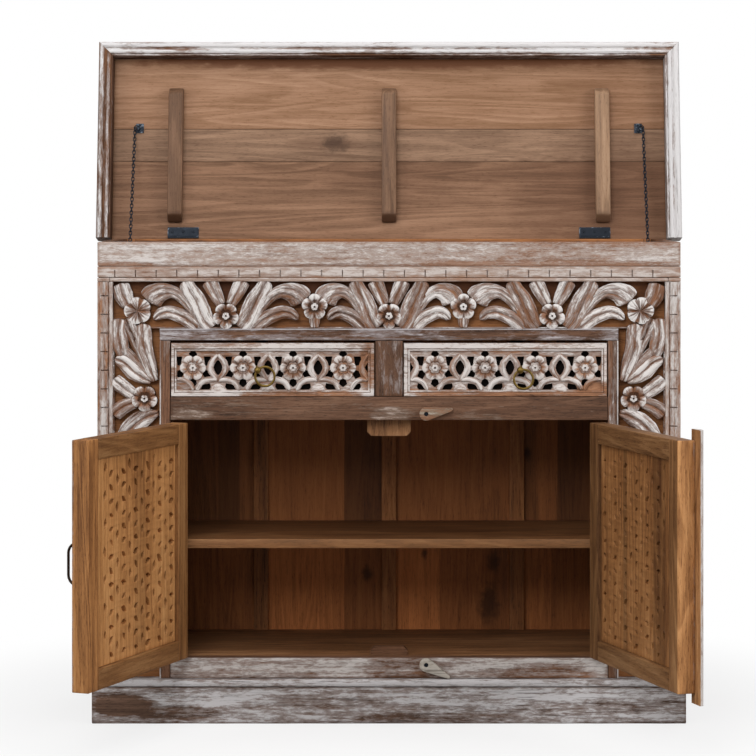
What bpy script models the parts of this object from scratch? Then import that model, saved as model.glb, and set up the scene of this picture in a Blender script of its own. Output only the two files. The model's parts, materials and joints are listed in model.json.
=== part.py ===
"""Whitewashed carved cabinet with a lift-up lid, two drawers and two doors.

The case stands on the XY plane, centred on X and Y, with its front towards -Y.
It is modelled with the lid and both doors open and the drawers shut.
"""

import math

import bmesh
import bpy
from mathutils import Matrix, Vector

# Clearances, metres
SEAT_GAP = 0.0003        # between pieces that touch
DRAWER_SIDE_GAP = 0.002  # each side of a drawer front in its opening
DRAWER_TOP_GAP = 0.005   # over a drawer front
DRAWER_GUIDE_GAP = 0.0007
DOOR_HINGE_GAP = 0.0035  # between a door's edge and its stile, filled by two leaves
DOOR_GAP = 0.003         # over, under and between the doors
DOOR_STOP_GAP = 0.001
LID_SEAT_GAP = 0.004     # under the shut lid, filled by its hinge leaves
LID_SIDE_GAP = 0.009     # between the case's side and the lid's side rim
LID_FRONT_GAP = 0.008

# Case
CASE_WIDTH = 1.122
CASE_DEPTH = 0.368
CASE_TOP = 0.925
EDGE_WEAR = 0.0015       # worn edge on the boards

# Plinth
PLINTH_HEIGHT = 0.0855
PLINTH_OVERHANG = 0.013
PLINTH_THICK = 0.035
PLINTH_BEAD = 0.014
BEAD_ROUND = 0.005
BEAD_PROUD = 0.003
BEARER_WIDTH = 0.040

# Front
FRONT_THICK = 0.022
TOP_RAIL_HEIGHT = 0.047
TICK_WIDTH = 0.0215
FILLET_WIDTH = 0.008
TICK_PITCH = 0.0385
NICK_WIDTH = 0.0095
NICK_LENGTH = 0.0118
NICK_DEPTH = 0.005
CARVING_WIDTH = 0.090
CARVING_THICK = 0.020
CARVING_RELIEF = 0.006
LEAF_RELIEF = 0.0036
BACKER_THICK = 0.012
FRAME_THICK = 0.034
INNER_STILE_WIDTH = 0.0205
INNER_RAIL_HEIGHT = 0.023
CENTRE_STILE_WIDTH = 0.053
DRAWER_OPENING = 0.108
LOWER_RAIL_HEIGHT = 0.0455
BOTTOM_RAIL_HEIGHT = 0.0395

# Carving on the apron and columns, drawn for a band 90 mm wide
SPRAY_BAND = 0.090
FLOWER_RADIUS = 0.024
SMALL_FLOWER = 0.8              # of the large flower's radius
APRON_FLOWER_SPACING = 0.314
APRON_FLOWER_DROP = 0.018       # below the band's middle
APRON_SMALL_FLOWER_X = 0.144
APRON_SPRAY_REACH = 0.114
COLUMN_FLOWER_DROP = 0.1335     # below the apron's lower edge
COLUMN_FLOWER_PITCH = 0.130
COLUMN_SPRAY_REACH = 0.096
# A leaf or a gap: base across and up, tip across and up, width
APRON_LEAVES = ((0.030, 0.008, 0.090, 0.038, 0.016), (0.030, 0.008, 0.080, 0.004, 0.014))
APRON_GAPS = ((0.034, 0.052, 0.082, 0.052, 0.012), (0.036, -0.016, 0.080, -0.015, 0.010))
COLUMN_LEAVES = ((0.006, -0.030, 0.034, -0.078, 0.018),)
COLUMN_SIDE_GAPS = ((0.037, -0.022, 0.036, -0.056, 0.009),)
COLUMN_MIDDLE_GAP = (0.0, -0.052, 0.0, -0.092, 0.012)

# Sides and back
SIDE_THICK = 0.024
POST_DEPTH = 0.040
SIDE_RAIL = 0.060
SIDE_PANEL_THICK = 0.012
BACK_THICK = 0.018
BACK_RAIL = 0.060
BACK_STILE = 0.040
BACK_SHEET_THICK = 0.006
MUNTIN_WIDTH = 0.030
MUNTIN_SPACING = 0.262
MUNTIN_COUNT = 3

# Inside
SHELF_THICK = 0.018
SHELF_TOP = 0.349
SHELF_SETBACK = 0.003
DUST_BOARD_THICK = 0.016
COMPARTMENT_FLOOR_THICK = 0.012
COMPARTMENT_FLOOR_RISE = 0.004
GUIDE_HEIGHT = 0.025
GUIDE_WIDTH = 0.020
DIVIDER_THICK = 0.018
STOP_DEPTH = 0.022
STOP_TOP_WIDTH = 0.084
STOP_TOP_REACH = 0.033   # how far the upper stop hangs into the door opening
STOP_BOTTOM_WIDTH = 0.072
STOP_BOTTOM_HEIGHT = 0.016
STOP_CHAMFER = 0.008

# Drawers
DRAWER_BOARD = 0.012
DRAWER_BOTTOM_THICK = 0.008
DRAWER_SIDE_HEIGHT = 0.085
DRAWER_LENGTH = 0.300
DRAWER_BORDER = 0.011
DRAWER_FLOWER_RADIUS = 0.024
DRAWER_FLOWER_MARGIN = 0.0245   # from the recess's inner end to the first flower
DRAWER_FLOWER_PITCH = 0.0963
DRAWER_LEAF_WIDTH = 0.018
DRAWER_LEAF_START = 0.006       # from the middle line
DRAWER_LEAF_MARGIN = 0.012      # from a leaf's tip to the recess's edge
KNOB_OFFSET = 0.02825    # outward from the middle of a drawer's opening
BALL_RADIUS = 0.0068
BALL_REACH = 0.013       # from the drawer front to the ball's centre
STUD_RADIUS = 0.0035
ROSE_RADIUS = 0.008
ROSE_THICK = 0.002
ROSE_SEAT_DEPTH = 0.0005  # cut into the carving's ground
RING_RADIUS = 0.0185     # to the middle of the bar
RING_BAR = 0.0024
RING_HOLE = 0.0036
RING_LEAN = {"left": math.radians(49.0), "right": math.radians(19.0)}

# Doors
DOOR_OPEN = {"left": math.radians(111.0), "right": math.radians(108.0)}
DOOR_STILE = 0.040
DOOR_RAIL = 0.038
DOOR_PANEL_THICK = 0.018
DOOR_PANEL_SETBACK = 0.008
KNUCKLE_PROUD = 0.0035   # from the door's face out to the pin
KNUCKLE_COUNT = 3
LEAF_THICK = 0.0012
LEAF_DEPTH = 0.028
LEAF_LENGTH = 0.064
DOOR_HINGE_INSET = 0.055
ASTRAGAL_WIDTH = 0.037
ASTRAGAL_THICK = 0.011
ASTRAGAL_OVERRUN = 0.019
DOOR_FLOWER_PITCH = (0.104, 0.090)
DOOR_FLOWER_RADIUS = 0.029
DOOR_GAP_LENGTH = 0.040
DOOR_GAP_WIDTH = 0.016
HANDLE_HEIGHT = 0.078
HANDLE_REACH = 0.0215
HANDLE_BAR = 0.0025
HANDLE_INSET = 0.030
HANDLE_BEND = 0.009

# Turn latches
LATCH_RADIUS = 0.013
LATCH_TIP_RADIUS = 0.003
LATCH_LENGTH = 0.049     # pivot to the middle of the tip
LATCH_THICK = 0.010
LATCH_X = 0.0715
LATCH_TOP_RISE = 0.0125
LATCH_BOTTOM_DROP = 0.0125
LATCH_TOP_ANGLE = math.radians(10.0)
LATCH_BOTTOM_ANGLE = math.radians(-28.5)

# Lid
LID_OPEN = math.radians(99.6)
LID_THICK = 0.020
LID_RIM_WIDTH = 0.030
LID_RIM_DROP = 0.035
LID_RIM_EDGE = 0.003
LID_SEAMS = (0.159, 0.2275)
SEAM_WIDTH = 0.0012
SEAM_DEPTH = 0.0015
LID_REAR_OVERHANG = 0.004
LID_PIN_RISE = 0.002     # from the case's top to the hinge pin
BATTEN_WIDTH = 0.030
BATTEN_THICK = 0.022
BATTEN_START = 0.0316
BATTEN_END = 0.3127
BATTEN_INSET = 0.121     # from the case's side to an outer batten's middle
BATTEN_CHAMFER = 0.014
LID_HINGE_INSET = 0.138  # from the case's side to a hinge's middle
LID_LEAF_DEPTH = 0.022
CHAIN_REACH = 0.229      # along the lid from its hinge pin
CHAIN_STAND_OFF = 0.008  # from the lid's face to the chain's hook
CHAIN_INSET = 0.0125     # from the side's inner face
CHAIN_RADIUS = 0.0016
EYE_Y = 0.090
EYE_DROP = 0.032

# Derived levels
HALF_WIDTH = CASE_WIDTH / 2
Y_FRONT = -CASE_DEPTH / 2
Y_BACK = CASE_DEPTH / 2
Z_TICK = CASE_TOP - TOP_RAIL_HEIGHT
Z_CARVING_TOP = Z_TICK - TICK_WIDTH - FILLET_WIDTH
Z_CARVING = Z_CARVING_TOP - CARVING_WIDTH
Z_DRAWER_TOP = Z_CARVING - INNER_RAIL_HEIGHT
Z_DRAWER = Z_DRAWER_TOP - DRAWER_OPENING
Z_DOOR_TOP = Z_DRAWER - LOWER_RAIL_HEIGHT
Z_DOOR = PLINTH_HEIGHT + BOTTOM_RAIL_HEIGHT
Z_CASE = PLINTH_HEIGHT + SEAT_GAP
X_COLUMN = HALF_WIDTH - TICK_WIDTH - FILLET_WIDTH
X_INNER = X_COLUMN - CARVING_WIDTH
X_OPENING = X_INNER - INNER_STILE_WIDTH
X_INSIDE = HALF_WIDTH - SIDE_THICK
X_KNOB = (CENTRE_STILE_WIDTH / 2 + X_OPENING) / 2 + KNOB_OFFSET
Y_FRAME_BACK = Y_FRONT + FRAME_THICK
Y_INSIDE_FRONT = Y_FRAME_BACK + SEAT_GAP
Y_INSIDE_BACK = Y_BACK - BACK_THICK - SEAT_GAP

COLOURS = {
    "whitewash": ((0.50, 0.45, 0.40), 0.7, 0.0),
    "carving_wash": ((0.56, 0.51, 0.46), 0.7, 0.0),
    "thin_wash": ((0.36, 0.27, 0.22), 0.6, 0.0),
    "brown_wood": ((0.24, 0.12, 0.06), 0.55, 0.0),
    "orange_wood": ((0.33, 0.17, 0.08), 0.55, 0.0),
    "black_iron": ((0.035, 0.037, 0.042), 0.5, 0.9),
    "brass": ((0.42, 0.30, 0.14), 0.4, 1.0),
    "bronze": ((0.12, 0.08, 0.05), 0.45, 0.9),
}


def clear_scene():
    """Remove every object that is already in the scene."""
    for item in list(bpy.data.objects):
        bpy.data.objects.remove(item, do_unlink=True)


def collection(name):
    """Return a new collection that is linked to the scene."""
    group = bpy.data.collections.new(name)
    bpy.context.scene.collection.children.link(group)
    return group


def finish(part, colour):
    """Give a part a material of its own in one of the cabinet's finishes."""
    tint, roughness, metallic = COLOURS[colour]
    material = bpy.data.materials.new(part.name + "_finish")
    material.use_nodes = True
    shader = material.node_tree.nodes["Principled BSDF"]
    shader.inputs["Base Color"].default_value = (*tint, 1.0)
    shader.inputs["Roughness"].default_value = roughness
    shader.inputs["Metallic"].default_value = metallic
    part.data.materials.append(material)
    return part


def axis_empty(name, location, rotation=(0.0, 0.0, 0.0), parent=None):
    """Add the empty that a moving group hangs on, on its joint's axis."""
    empty = bpy.data.objects.new(name, None)
    empty.location = location
    empty.rotation_euler = rotation
    empty.empty_display_size = 0.05
    empty.parent = parent
    GUIDES.objects.link(empty)
    return empty


def add_box(bm, x, y, z):
    """Add a box between two limits on each axis."""
    size = Vector((x[1] - x[0], y[1] - y[0], z[1] - z[0]))
    centre = Vector((x[0] + x[1], y[0] + y[1], z[0] + z[1])) / 2
    place = Matrix.Translation(centre) @ Matrix.Diagonal((*size, 1.0))
    return bmesh.ops.create_cube(bm, size=1.0, matrix=place)["verts"]


def add_rod(bm, start, end, radius, sides=16):
    """Add a closed cylinder between two points."""
    start = Vector(start)
    end = Vector(end)
    turn = (end - start).to_track_quat("Z", "Y").to_matrix().to_4x4()
    place = Matrix.Translation((start + end) / 2) @ turn
    bmesh.ops.create_cone(bm, cap_ends=True, segments=sides, radius1=radius, radius2=radius,
                          depth=(end - start).length, matrix=place)


def object_from(bm, name, group, parent=None):
    """Turn a bmesh into an object in a collection."""
    mesh = bpy.data.meshes.new(name)
    bm.to_mesh(mesh)
    bm.free()
    part = bpy.data.objects.new(name, mesh)
    part.parent = parent
    group.objects.link(part)
    return part


def add_bevel(part, width, segments=1):
    """Wear the sharp edges of a part."""
    bevel = part.modifiers.new("worn_edges", "BEVEL")
    bevel.width = width
    bevel.segments = segments
    bevel.limit_method = "ANGLE"
    return bevel


def add_board(name, limits, colour, parent=None, edge=EDGE_WEAR, cuts=(), joins=()):
    """Make a node from a board, with boxes cut out of it and others joined to it."""
    bm = bmesh.new()
    add_box(bm, *limits)
    part = object_from(bm, name, PARTS, parent)
    if edge:
        add_bevel(part, edge)
    for index, box in enumerate(joins):
        bm = bmesh.new()
        add_box(bm, *box)
        cut_or_join(part, object_from(bm, "%s_join_%d" % (name, index), GUIDES, parent), "UNION")
    if cuts:
        bm = bmesh.new()
        for box in cuts:
            add_box(bm, *box)
        cut_or_join(part, object_from(bm, name + "_windows", GUIDES, parent), "DIFFERENCE")
    return finish(part, colour)


def cut_or_join(part, operand, operation):
    """Join an operand to a part, or cut it away."""
    operand.hide_render = True
    operand.display_type = "WIRE"
    boolean = part.modifiers.new(operand.name, "BOOLEAN")
    boolean.operation = operation
    boolean.solver = "EXACT"
    boolean.use_self = True
    boolean.object = operand


def mirrored(limits):
    """Return a pair of X limits on the other side of the centre line."""
    return (-limits[1], -limits[0])


def side_sign(side):
    """Return the sign of X on a named side."""
    return -1.0 if side == "left" else 1.0


def on_side(limits, side):
    """Return positive X limits on a named side of the centre line."""
    return mirrored(limits) if side == "left" else limits


def flower_outline(centre, radius, petals, notch=0.62, lean=0.0):
    """Return the points of a flower in the XZ plane, petals round a centre."""
    steps = petals * 6
    points = []
    for index in range(steps):
        angle = 2 * math.pi * index / steps
        lobe = abs(math.cos(petals * angle / 2))
        reach = radius * (notch + (1 - notch) * lobe)
        points.append((centre[0] + reach * math.sin(angle + lean),
                       centre[1] + reach * math.cos(angle + lean)))
    return points


def leaf_outline(base, tip, width, steps=5):
    """Return the points of a pointed leaf from its base to its tip."""
    base = Vector(base)
    tip = Vector(tip)
    along = tip - base
    across = Vector((-along.y, along.x)).normalized()
    right = []
    left = []
    for index in range(1, steps):
        share = index / steps
        spread = width / 2 * math.sin(math.pi * share ** 0.8)
        right.append(base + along * share - across * spread)
        left.append(base + along * share + across * spread)
    return [base, *right, tip, *reversed(left)]


def add_prism(bm, outline, y_front, y_back):
    """Add an outline in the XZ plane as a closed prism between two depths."""
    face = bm.faces.new([bm.verts.new((x, y_front, z)) for x, z in outline])
    made = bmesh.ops.extrude_face_region(bm, geom=[face])["geom"]
    moved = [item for item in made if isinstance(item, bmesh.types.BMVert)]
    bmesh.ops.translate(bm, verts=moved, vec=(0.0, y_back - y_front, 0.0))


def carve(part, raised, pierced, y_ground, parent=None):
    """Raise ornament from a part's ground and pierce it right through."""
    if raised:
        bm = bmesh.new()
        for outline, height in raised:
            add_prism(bm, outline, y_ground - height, y_ground + CARVING_RELIEF)
        bmesh.ops.recalc_face_normals(bm, faces=bm.faces)
        cut_or_join(part, object_from(bm, part.name + "_ornament", GUIDES, parent), "UNION")
    if pierced:
        bm = bmesh.new()
        for outline in pierced:
            add_prism(bm, outline, y_ground - CARVING_THICK, y_ground + 2 * CARVING_THICK)
        bmesh.ops.recalc_face_normals(bm, faces=bm.faces)
        cut_or_join(part, object_from(bm, part.name + "_piercing", GUIDES, parent), "DIFFERENCE")


def join_bead(part, limits):
    """Join a rounded bead to the top of a plinth board."""
    bm = bmesh.new()
    add_box(bm, *limits)
    count = len(part.modifiers)
    bead = object_from(bm, "%s_bead_%d" % (part.name, count), GUIDES)
    add_bevel(bead, BEAD_ROUND, segments=3)
    cut_or_join(part, bead, "UNION")


def build_plinth():
    """Build the front board and the frame of sides, back and bearer behind it."""
    half = HALF_WIDTH + PLINTH_OVERHANG
    y_face = Y_FRONT - PLINTH_OVERHANG
    y_behind = y_face + PLINTH_THICK + SEAT_GAP
    bead_z = (PLINTH_HEIGHT - PLINTH_BEAD, PLINTH_HEIGHT)
    flat = half - BEAD_PROUD
    inner = half - PLINTH_THICK
    front = add_board("plinth_front", ((-flat, flat), (y_face + BEAD_PROUD, y_face + PLINTH_THICK),
                                       (0.0, PLINTH_HEIGHT - PLINTH_BEAD / 2)), "whitewash", edge=0.0)
    join_bead(front, ((-half, half), (y_face, y_face + PLINTH_THICK), bead_z))
    cell_y = (y_behind - PLINTH_THICK, Y_BACK - PLINTH_THICK)
    cell_z = (-PLINTH_HEIGHT, 2 * PLINTH_HEIGHT)
    cells = [((-inner, -BEARER_WIDTH / 2), cell_y, cell_z), ((BEARER_WIDTH / 2, inner), cell_y, cell_z)]
    frame = add_board("plinth_frame", ((-flat, flat), (y_behind, Y_BACK), (0.0, PLINTH_HEIGHT)),
                      "whitewash", edge=0.0, cuts=cells)
    for side in ("left", "right"):
        join_bead(frame, (on_side((inner + SEAT_GAP, half), side), (y_behind, Y_BACK), bead_z))


def build_sides():
    """Build a frame of posts and rails with a panel on each side."""
    y_post = Y_FRONT + FRONT_THICK + SEAT_GAP
    y = (y_post, Y_BACK)
    window_y = (y_post + POST_DEPTH, Y_BACK - POST_DEPTH)
    window_z = (Z_CASE + SIDE_RAIL, CASE_TOP - SIDE_RAIL)
    middle = HALF_WIDTH - SIDE_THICK / 2
    for side in ("left", "right"):
        through = on_side((X_INSIDE - SIDE_THICK, HALF_WIDTH + SIDE_THICK), side)
        add_board("side_frame_" + side, (on_side((X_INSIDE, HALF_WIDTH), side), y, (Z_CASE, CASE_TOP)),
                  "whitewash", cuts=[(through, window_y, window_z)])
        panel_x = on_side((middle - SIDE_PANEL_THICK / 2, middle + SIDE_PANEL_THICK / 2), side)
        panel_y = (window_y[0] + SEAT_GAP, window_y[1] - SEAT_GAP)
        panel_z = (window_z[0] + SEAT_GAP, window_z[1] - SEAT_GAP)
        add_board("side_panel_" + side, (panel_x, panel_y, panel_z), "whitewash", edge=0.0)


def build_back():
    """Build the framed back with its muntins and the sheet behind it."""
    outer = X_INSIDE - SEAT_GAP
    y = (Y_BACK - BACK_THICK, Y_BACK - BACK_SHEET_THICK - SEAT_GAP)
    window_z = (Z_CASE + BACK_RAIL, CASE_TOP - BACK_RAIL)
    edges = [-outer + BACK_STILE]
    for index in range(MUNTIN_COUNT):
        middle = (index - (MUNTIN_COUNT - 1) / 2) * MUNTIN_SPACING
        edges += [middle - MUNTIN_WIDTH / 2, middle + MUNTIN_WIDTH / 2]
    edges.append(outer - BACK_STILE)
    through = (y[0] - BACK_THICK, y[1] + BACK_THICK)
    windows = [((edges[index], edges[index + 1]), through, window_z) for index in range(0, len(edges), 2)]
    add_board("back_frame", ((-outer, outer), y, (Z_CASE, CASE_TOP)), "brown_wood", cuts=windows)
    add_board("back_panel", ((-outer, outer), (Y_BACK - BACK_SHEET_THICK, Y_BACK), (Z_CASE, CASE_TOP)),
              "brown_wood", edge=0.0)


def tick_cutters(start, end, across, along_x):
    """Return wedge outlines that nick the tick moulding at an even pitch."""
    count = int((end - start) / TICK_PITCH)
    first = (start + end) / 2 - (count - 1) * TICK_PITCH / 2
    outlines = []
    for index in range(count):
        middle = first + index * TICK_PITCH
        corners = [(-NICK_WIDTH / 2, across[0]), (NICK_WIDTH / 2, across[0]), (0.0, across[1])]
        if along_x:
            outlines.append([(middle + u, v) for u, v in corners])
        else:
            outlines.append([(v, middle + u) for u, v in corners])
    return outlines


def nick(part, outlines):
    """Cut shallow wedges into the front face of a moulding."""
    bm = bmesh.new()
    for outline in outlines:
        add_prism(bm, outline, Y_FRONT - NICK_DEPTH, Y_FRONT + NICK_DEPTH)
    bmesh.ops.recalc_face_normals(bm, faces=bm.faces)
    cut_or_join(part, object_from(bm, part.name + "_nicks", GUIDES), "DIFFERENCE")


def build_front_frame():
    """Build the plain top rail, the tick mouldings and the inner frame."""
    y_thin = (Y_FRONT, Y_FRONT + FRONT_THICK)
    y_thick = (Y_FRONT, Y_FRAME_BACK)
    full = (-HALF_WIDTH, HALF_WIDTH)
    add_board("front_top_rail", (full, y_thin, (Z_TICK + SEAT_GAP, CASE_TOP)), "whitewash")
    top = add_board("tick_moulding_top", (full, y_thin, (Z_CARVING_TOP, Z_TICK)), "whitewash", edge=0.0)
    nick(top, tick_cutters(-HALF_WIDTH + TICK_WIDTH, HALF_WIDTH - TICK_WIDTH,
                           (Z_TICK - TICK_WIDTH, Z_TICK - TICK_WIDTH + NICK_LENGTH), True))
    side_z = (Z_CASE, Z_CARVING_TOP - SEAT_GAP)
    across = (HALF_WIDTH - TICK_WIDTH, HALF_WIDTH - TICK_WIDTH + NICK_LENGTH)
    for side in ("left", "right"):
        strip = add_board("tick_moulding_" + side, (on_side((X_COLUMN, HALF_WIDTH), side), y_thin, side_z),
                          "whitewash", edge=0.0)
        outlines = tick_cutters(Z_CASE, Z_CARVING_TOP, across, False)
        nick(strip, [[(side_sign(side) * x, z) for x, z in outline] for outline in outlines])
        stile_x = on_side((X_OPENING, X_INNER - SEAT_GAP), side)
        add_board("inner_stile_" + side, (stile_x, y_thick, (Z_CASE, Z_DRAWER_TOP - SEAT_GAP)), "thin_wash")
    inner_x = (-X_INNER + SEAT_GAP, X_INNER - SEAT_GAP)
    add_board("inner_top_rail", (inner_x, y_thick, (Z_DRAWER_TOP, Z_CARVING - SEAT_GAP)), "thin_wash")
    rail_x = (-X_OPENING + SEAT_GAP, X_OPENING - SEAT_GAP)
    add_board("lower_rail", (rail_x, y_thick, (Z_DOOR_TOP, Z_DRAWER)), "thin_wash")
    add_board("bottom_rail", (rail_x, y_thick, (Z_CASE, Z_DOOR)), "thin_wash")
    half = CENTRE_STILE_WIDTH / 2
    add_board("centre_stile", ((-half, half), y_thick, (Z_DRAWER + SEAT_GAP, Z_DRAWER_TOP - SEAT_GAP)),
              "thin_wash")


def leaf_at(spray, centre, sign, scale=1.0):
    """Return the outline of a leaf given by its base, tip and width about a centre."""
    base_u, base_v, tip_u, tip_v, width = [value * scale for value in spray]
    return leaf_outline((centre[0] + sign * base_u, centre[1] + base_v),
                        (centre[0] + sign * tip_u, centre[1] + tip_v), width)


def apron_ornament():
    """Return the raised flowers and leaves and the pierced gaps of the apron."""
    scale = CARVING_WIDTH / SPRAY_BAND
    middle = Z_CARVING + CARVING_WIDTH / 2
    large = FLOWER_RADIUS * scale
    raised = []
    pierced = []
    each_side = int((X_COLUMN - APRON_SPRAY_REACH) / APRON_FLOWER_SPACING)
    for index in range(-each_side, each_side + 1):
        centre = (index * APRON_FLOWER_SPACING, middle - APRON_FLOWER_DROP * scale)
        raised.append((flower_outline(centre, large, 5), CARVING_RELIEF))
        for sign in (-1, 1):
            raised += [(leaf_at(spray, centre, sign, scale), LEAF_RELIEF) for spray in APRON_LEAVES]
            pierced += [leaf_at(spray, centre, sign, scale) for spray in APRON_GAPS]
    for sign in (-1, 1):
        small = (sign * APRON_SMALL_FLOWER_X, middle)
        raised.append((flower_outline(small, large * SMALL_FLOWER, 6), CARVING_RELIEF))
        corner = (sign * (X_COLUMN + X_INNER) / 2, middle)
        raised.append((flower_outline(corner, large, 5), CARVING_RELIEF))
    return raised, pierced


def column_ornament(side):
    """Return the raised flowers and leaves and the pierced gaps of a column."""
    scale = CARVING_WIDTH / SPRAY_BAND
    centre_x = side_sign(side) * (X_COLUMN + X_INNER) / 2
    top = Z_CARVING - COLUMN_FLOWER_DROP
    count = 1 + int((top - COLUMN_SPRAY_REACH * scale - Z_CASE) / COLUMN_FLOWER_PITCH)
    raised = []
    pierced = []
    for index in range(-1, count):
        centre = (centre_x, top - COLUMN_FLOWER_PITCH * index)
        if index >= 0:
            raised.append((flower_outline(centre, FLOWER_RADIUS * scale, 5), CARVING_RELIEF))
        for sign in (-1, 1):
            raised += [(leaf_at(spray, centre, sign, scale), LEAF_RELIEF) for spray in COLUMN_LEAVES]
            pierced += [leaf_at(spray, centre, sign, scale) for spray in COLUMN_SIDE_GAPS]
        pierced.append(leaf_at(COLUMN_MIDDLE_GAP, centre, 1, scale))
    return raised, pierced


def build_carving():
    """Build the pierced apron and columns and the board behind them."""
    y = (Y_FRONT + CARVING_RELIEF, Y_FRONT + CARVING_THICK)
    y_backer = (Y_FRONT + CARVING_THICK + SEAT_GAP, Y_FRONT + CARVING_THICK + SEAT_GAP + BACKER_THICK)
    full = (-X_COLUMN + SEAT_GAP, X_COLUMN - SEAT_GAP)
    band_z = (Z_CARVING, Z_CARVING_TOP - SEAT_GAP)
    column_z = (Z_CASE, Z_CARVING - SEAT_GAP)
    apron = add_board("carved_apron", (full, y, band_z), "carving_wash", edge=0.0)
    carve(apron, *apron_ornament(), Y_FRONT + CARVING_RELIEF)
    for side in ("left", "right"):
        column_x = on_side((X_INNER, X_COLUMN - SEAT_GAP), side)
        column = add_board("carved_column_" + side, (column_x, y, column_z), "carving_wash", edge=0.0)
        carve(column, *column_ornament(side), Y_FRONT + CARVING_RELIEF)
    arch = ((-X_INNER, X_INNER), (y_backer[0] - BACKER_THICK, y_backer[1] + BACKER_THICK),
            (Z_CASE - CARVING_WIDTH, Z_CARVING))
    add_board("carving_backer", (full, y_backer, (Z_CASE, Z_CARVING_TOP)), "brown_wood", edge=0.0,
              cuts=[arch])


def build_stop(name, width, z, chamfer_level):
    """Build a door stop block with its free corners cut off."""
    bm = bmesh.new()
    y = (Y_FRAME_BACK + DOOR_STOP_GAP, Y_FRAME_BACK + DOOR_STOP_GAP + STOP_DEPTH)
    add_box(bm, (-width / 2, width / 2), y, z)
    corners = [edge for edge in bm.edges
               if all(abs(v.co.z - chamfer_level) < SEAT_GAP / 2 for v in edge.verts)
               and abs(edge.verts[0].co.x - edge.verts[1].co.x) < SEAT_GAP / 2]
    bmesh.ops.bevel(bm, geom=corners, offset=STOP_CHAMFER, segments=1, profile=0.5,
                    affect="EDGES", material=-1)
    finish(object_from(bm, name, PARTS), "brown_wood")


def build_inside():
    """Build the floors, shelf, drawer deck with its guides, and door stops."""
    wide = (-X_INSIDE + SEAT_GAP, X_INSIDE - SEAT_GAP)
    deep = (Y_INSIDE_FRONT, Y_INSIDE_BACK)
    add_board("cabinet_floor", (wide, deep, (Z_DOOR - SHELF_THICK, Z_DOOR)), "brown_wood")
    shelf_y = (Y_FRAME_BACK + SHELF_SETBACK, Y_INSIDE_BACK)
    add_board("shelf", (wide, shelf_y, (SHELF_TOP - SHELF_THICK, SHELF_TOP)), "brown_wood")
    floor_z = Z_DRAWER_TOP + COMPARTMENT_FLOOR_RISE
    add_board("compartment_floor", (wide, deep, (floor_z, floor_z + COMPARTMENT_FLOOR_THICK)), "brown_wood")

    deck_z = (Z_DRAWER - DUST_BOARD_THICK, Z_DRAWER)
    guide_z = (Z_DRAWER - DUST_BOARD_THICK / 2, Z_DRAWER + GUIDE_HEIGHT)
    inner_face = X_OPENING - DRAWER_SIDE_GAP * 2 + DRAWER_GUIDE_GAP
    centre = CENTRE_STILE_WIDTH / 2 + DRAWER_SIDE_GAP * 2 - DRAWER_GUIDE_GAP
    half = DIVIDER_THICK / 2
    guides = [(on_side((inner_face, inner_face + GUIDE_WIDTH), side), deep, guide_z)
              for side in ("left", "right")]
    guides.append(((-centre, centre), deep, guide_z))
    guides.append(((-half, half), deep, (guide_z[0], floor_z - SEAT_GAP)))
    add_board("drawer_deck", (wide, deep, deck_z), "brown_wood", edge=0.0, joins=guides)

    low = Z_DOOR_TOP - STOP_TOP_REACH
    build_stop("stop_block_top", STOP_TOP_WIDTH, (low, deck_z[0] - SEAT_GAP), low)
    high = Z_DOOR + SEAT_GAP + STOP_BOTTOM_HEIGHT
    build_stop("stop_block_bottom", STOP_BOTTOM_WIDTH, (Z_DOOR + SEAT_GAP, high), high)


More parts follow.
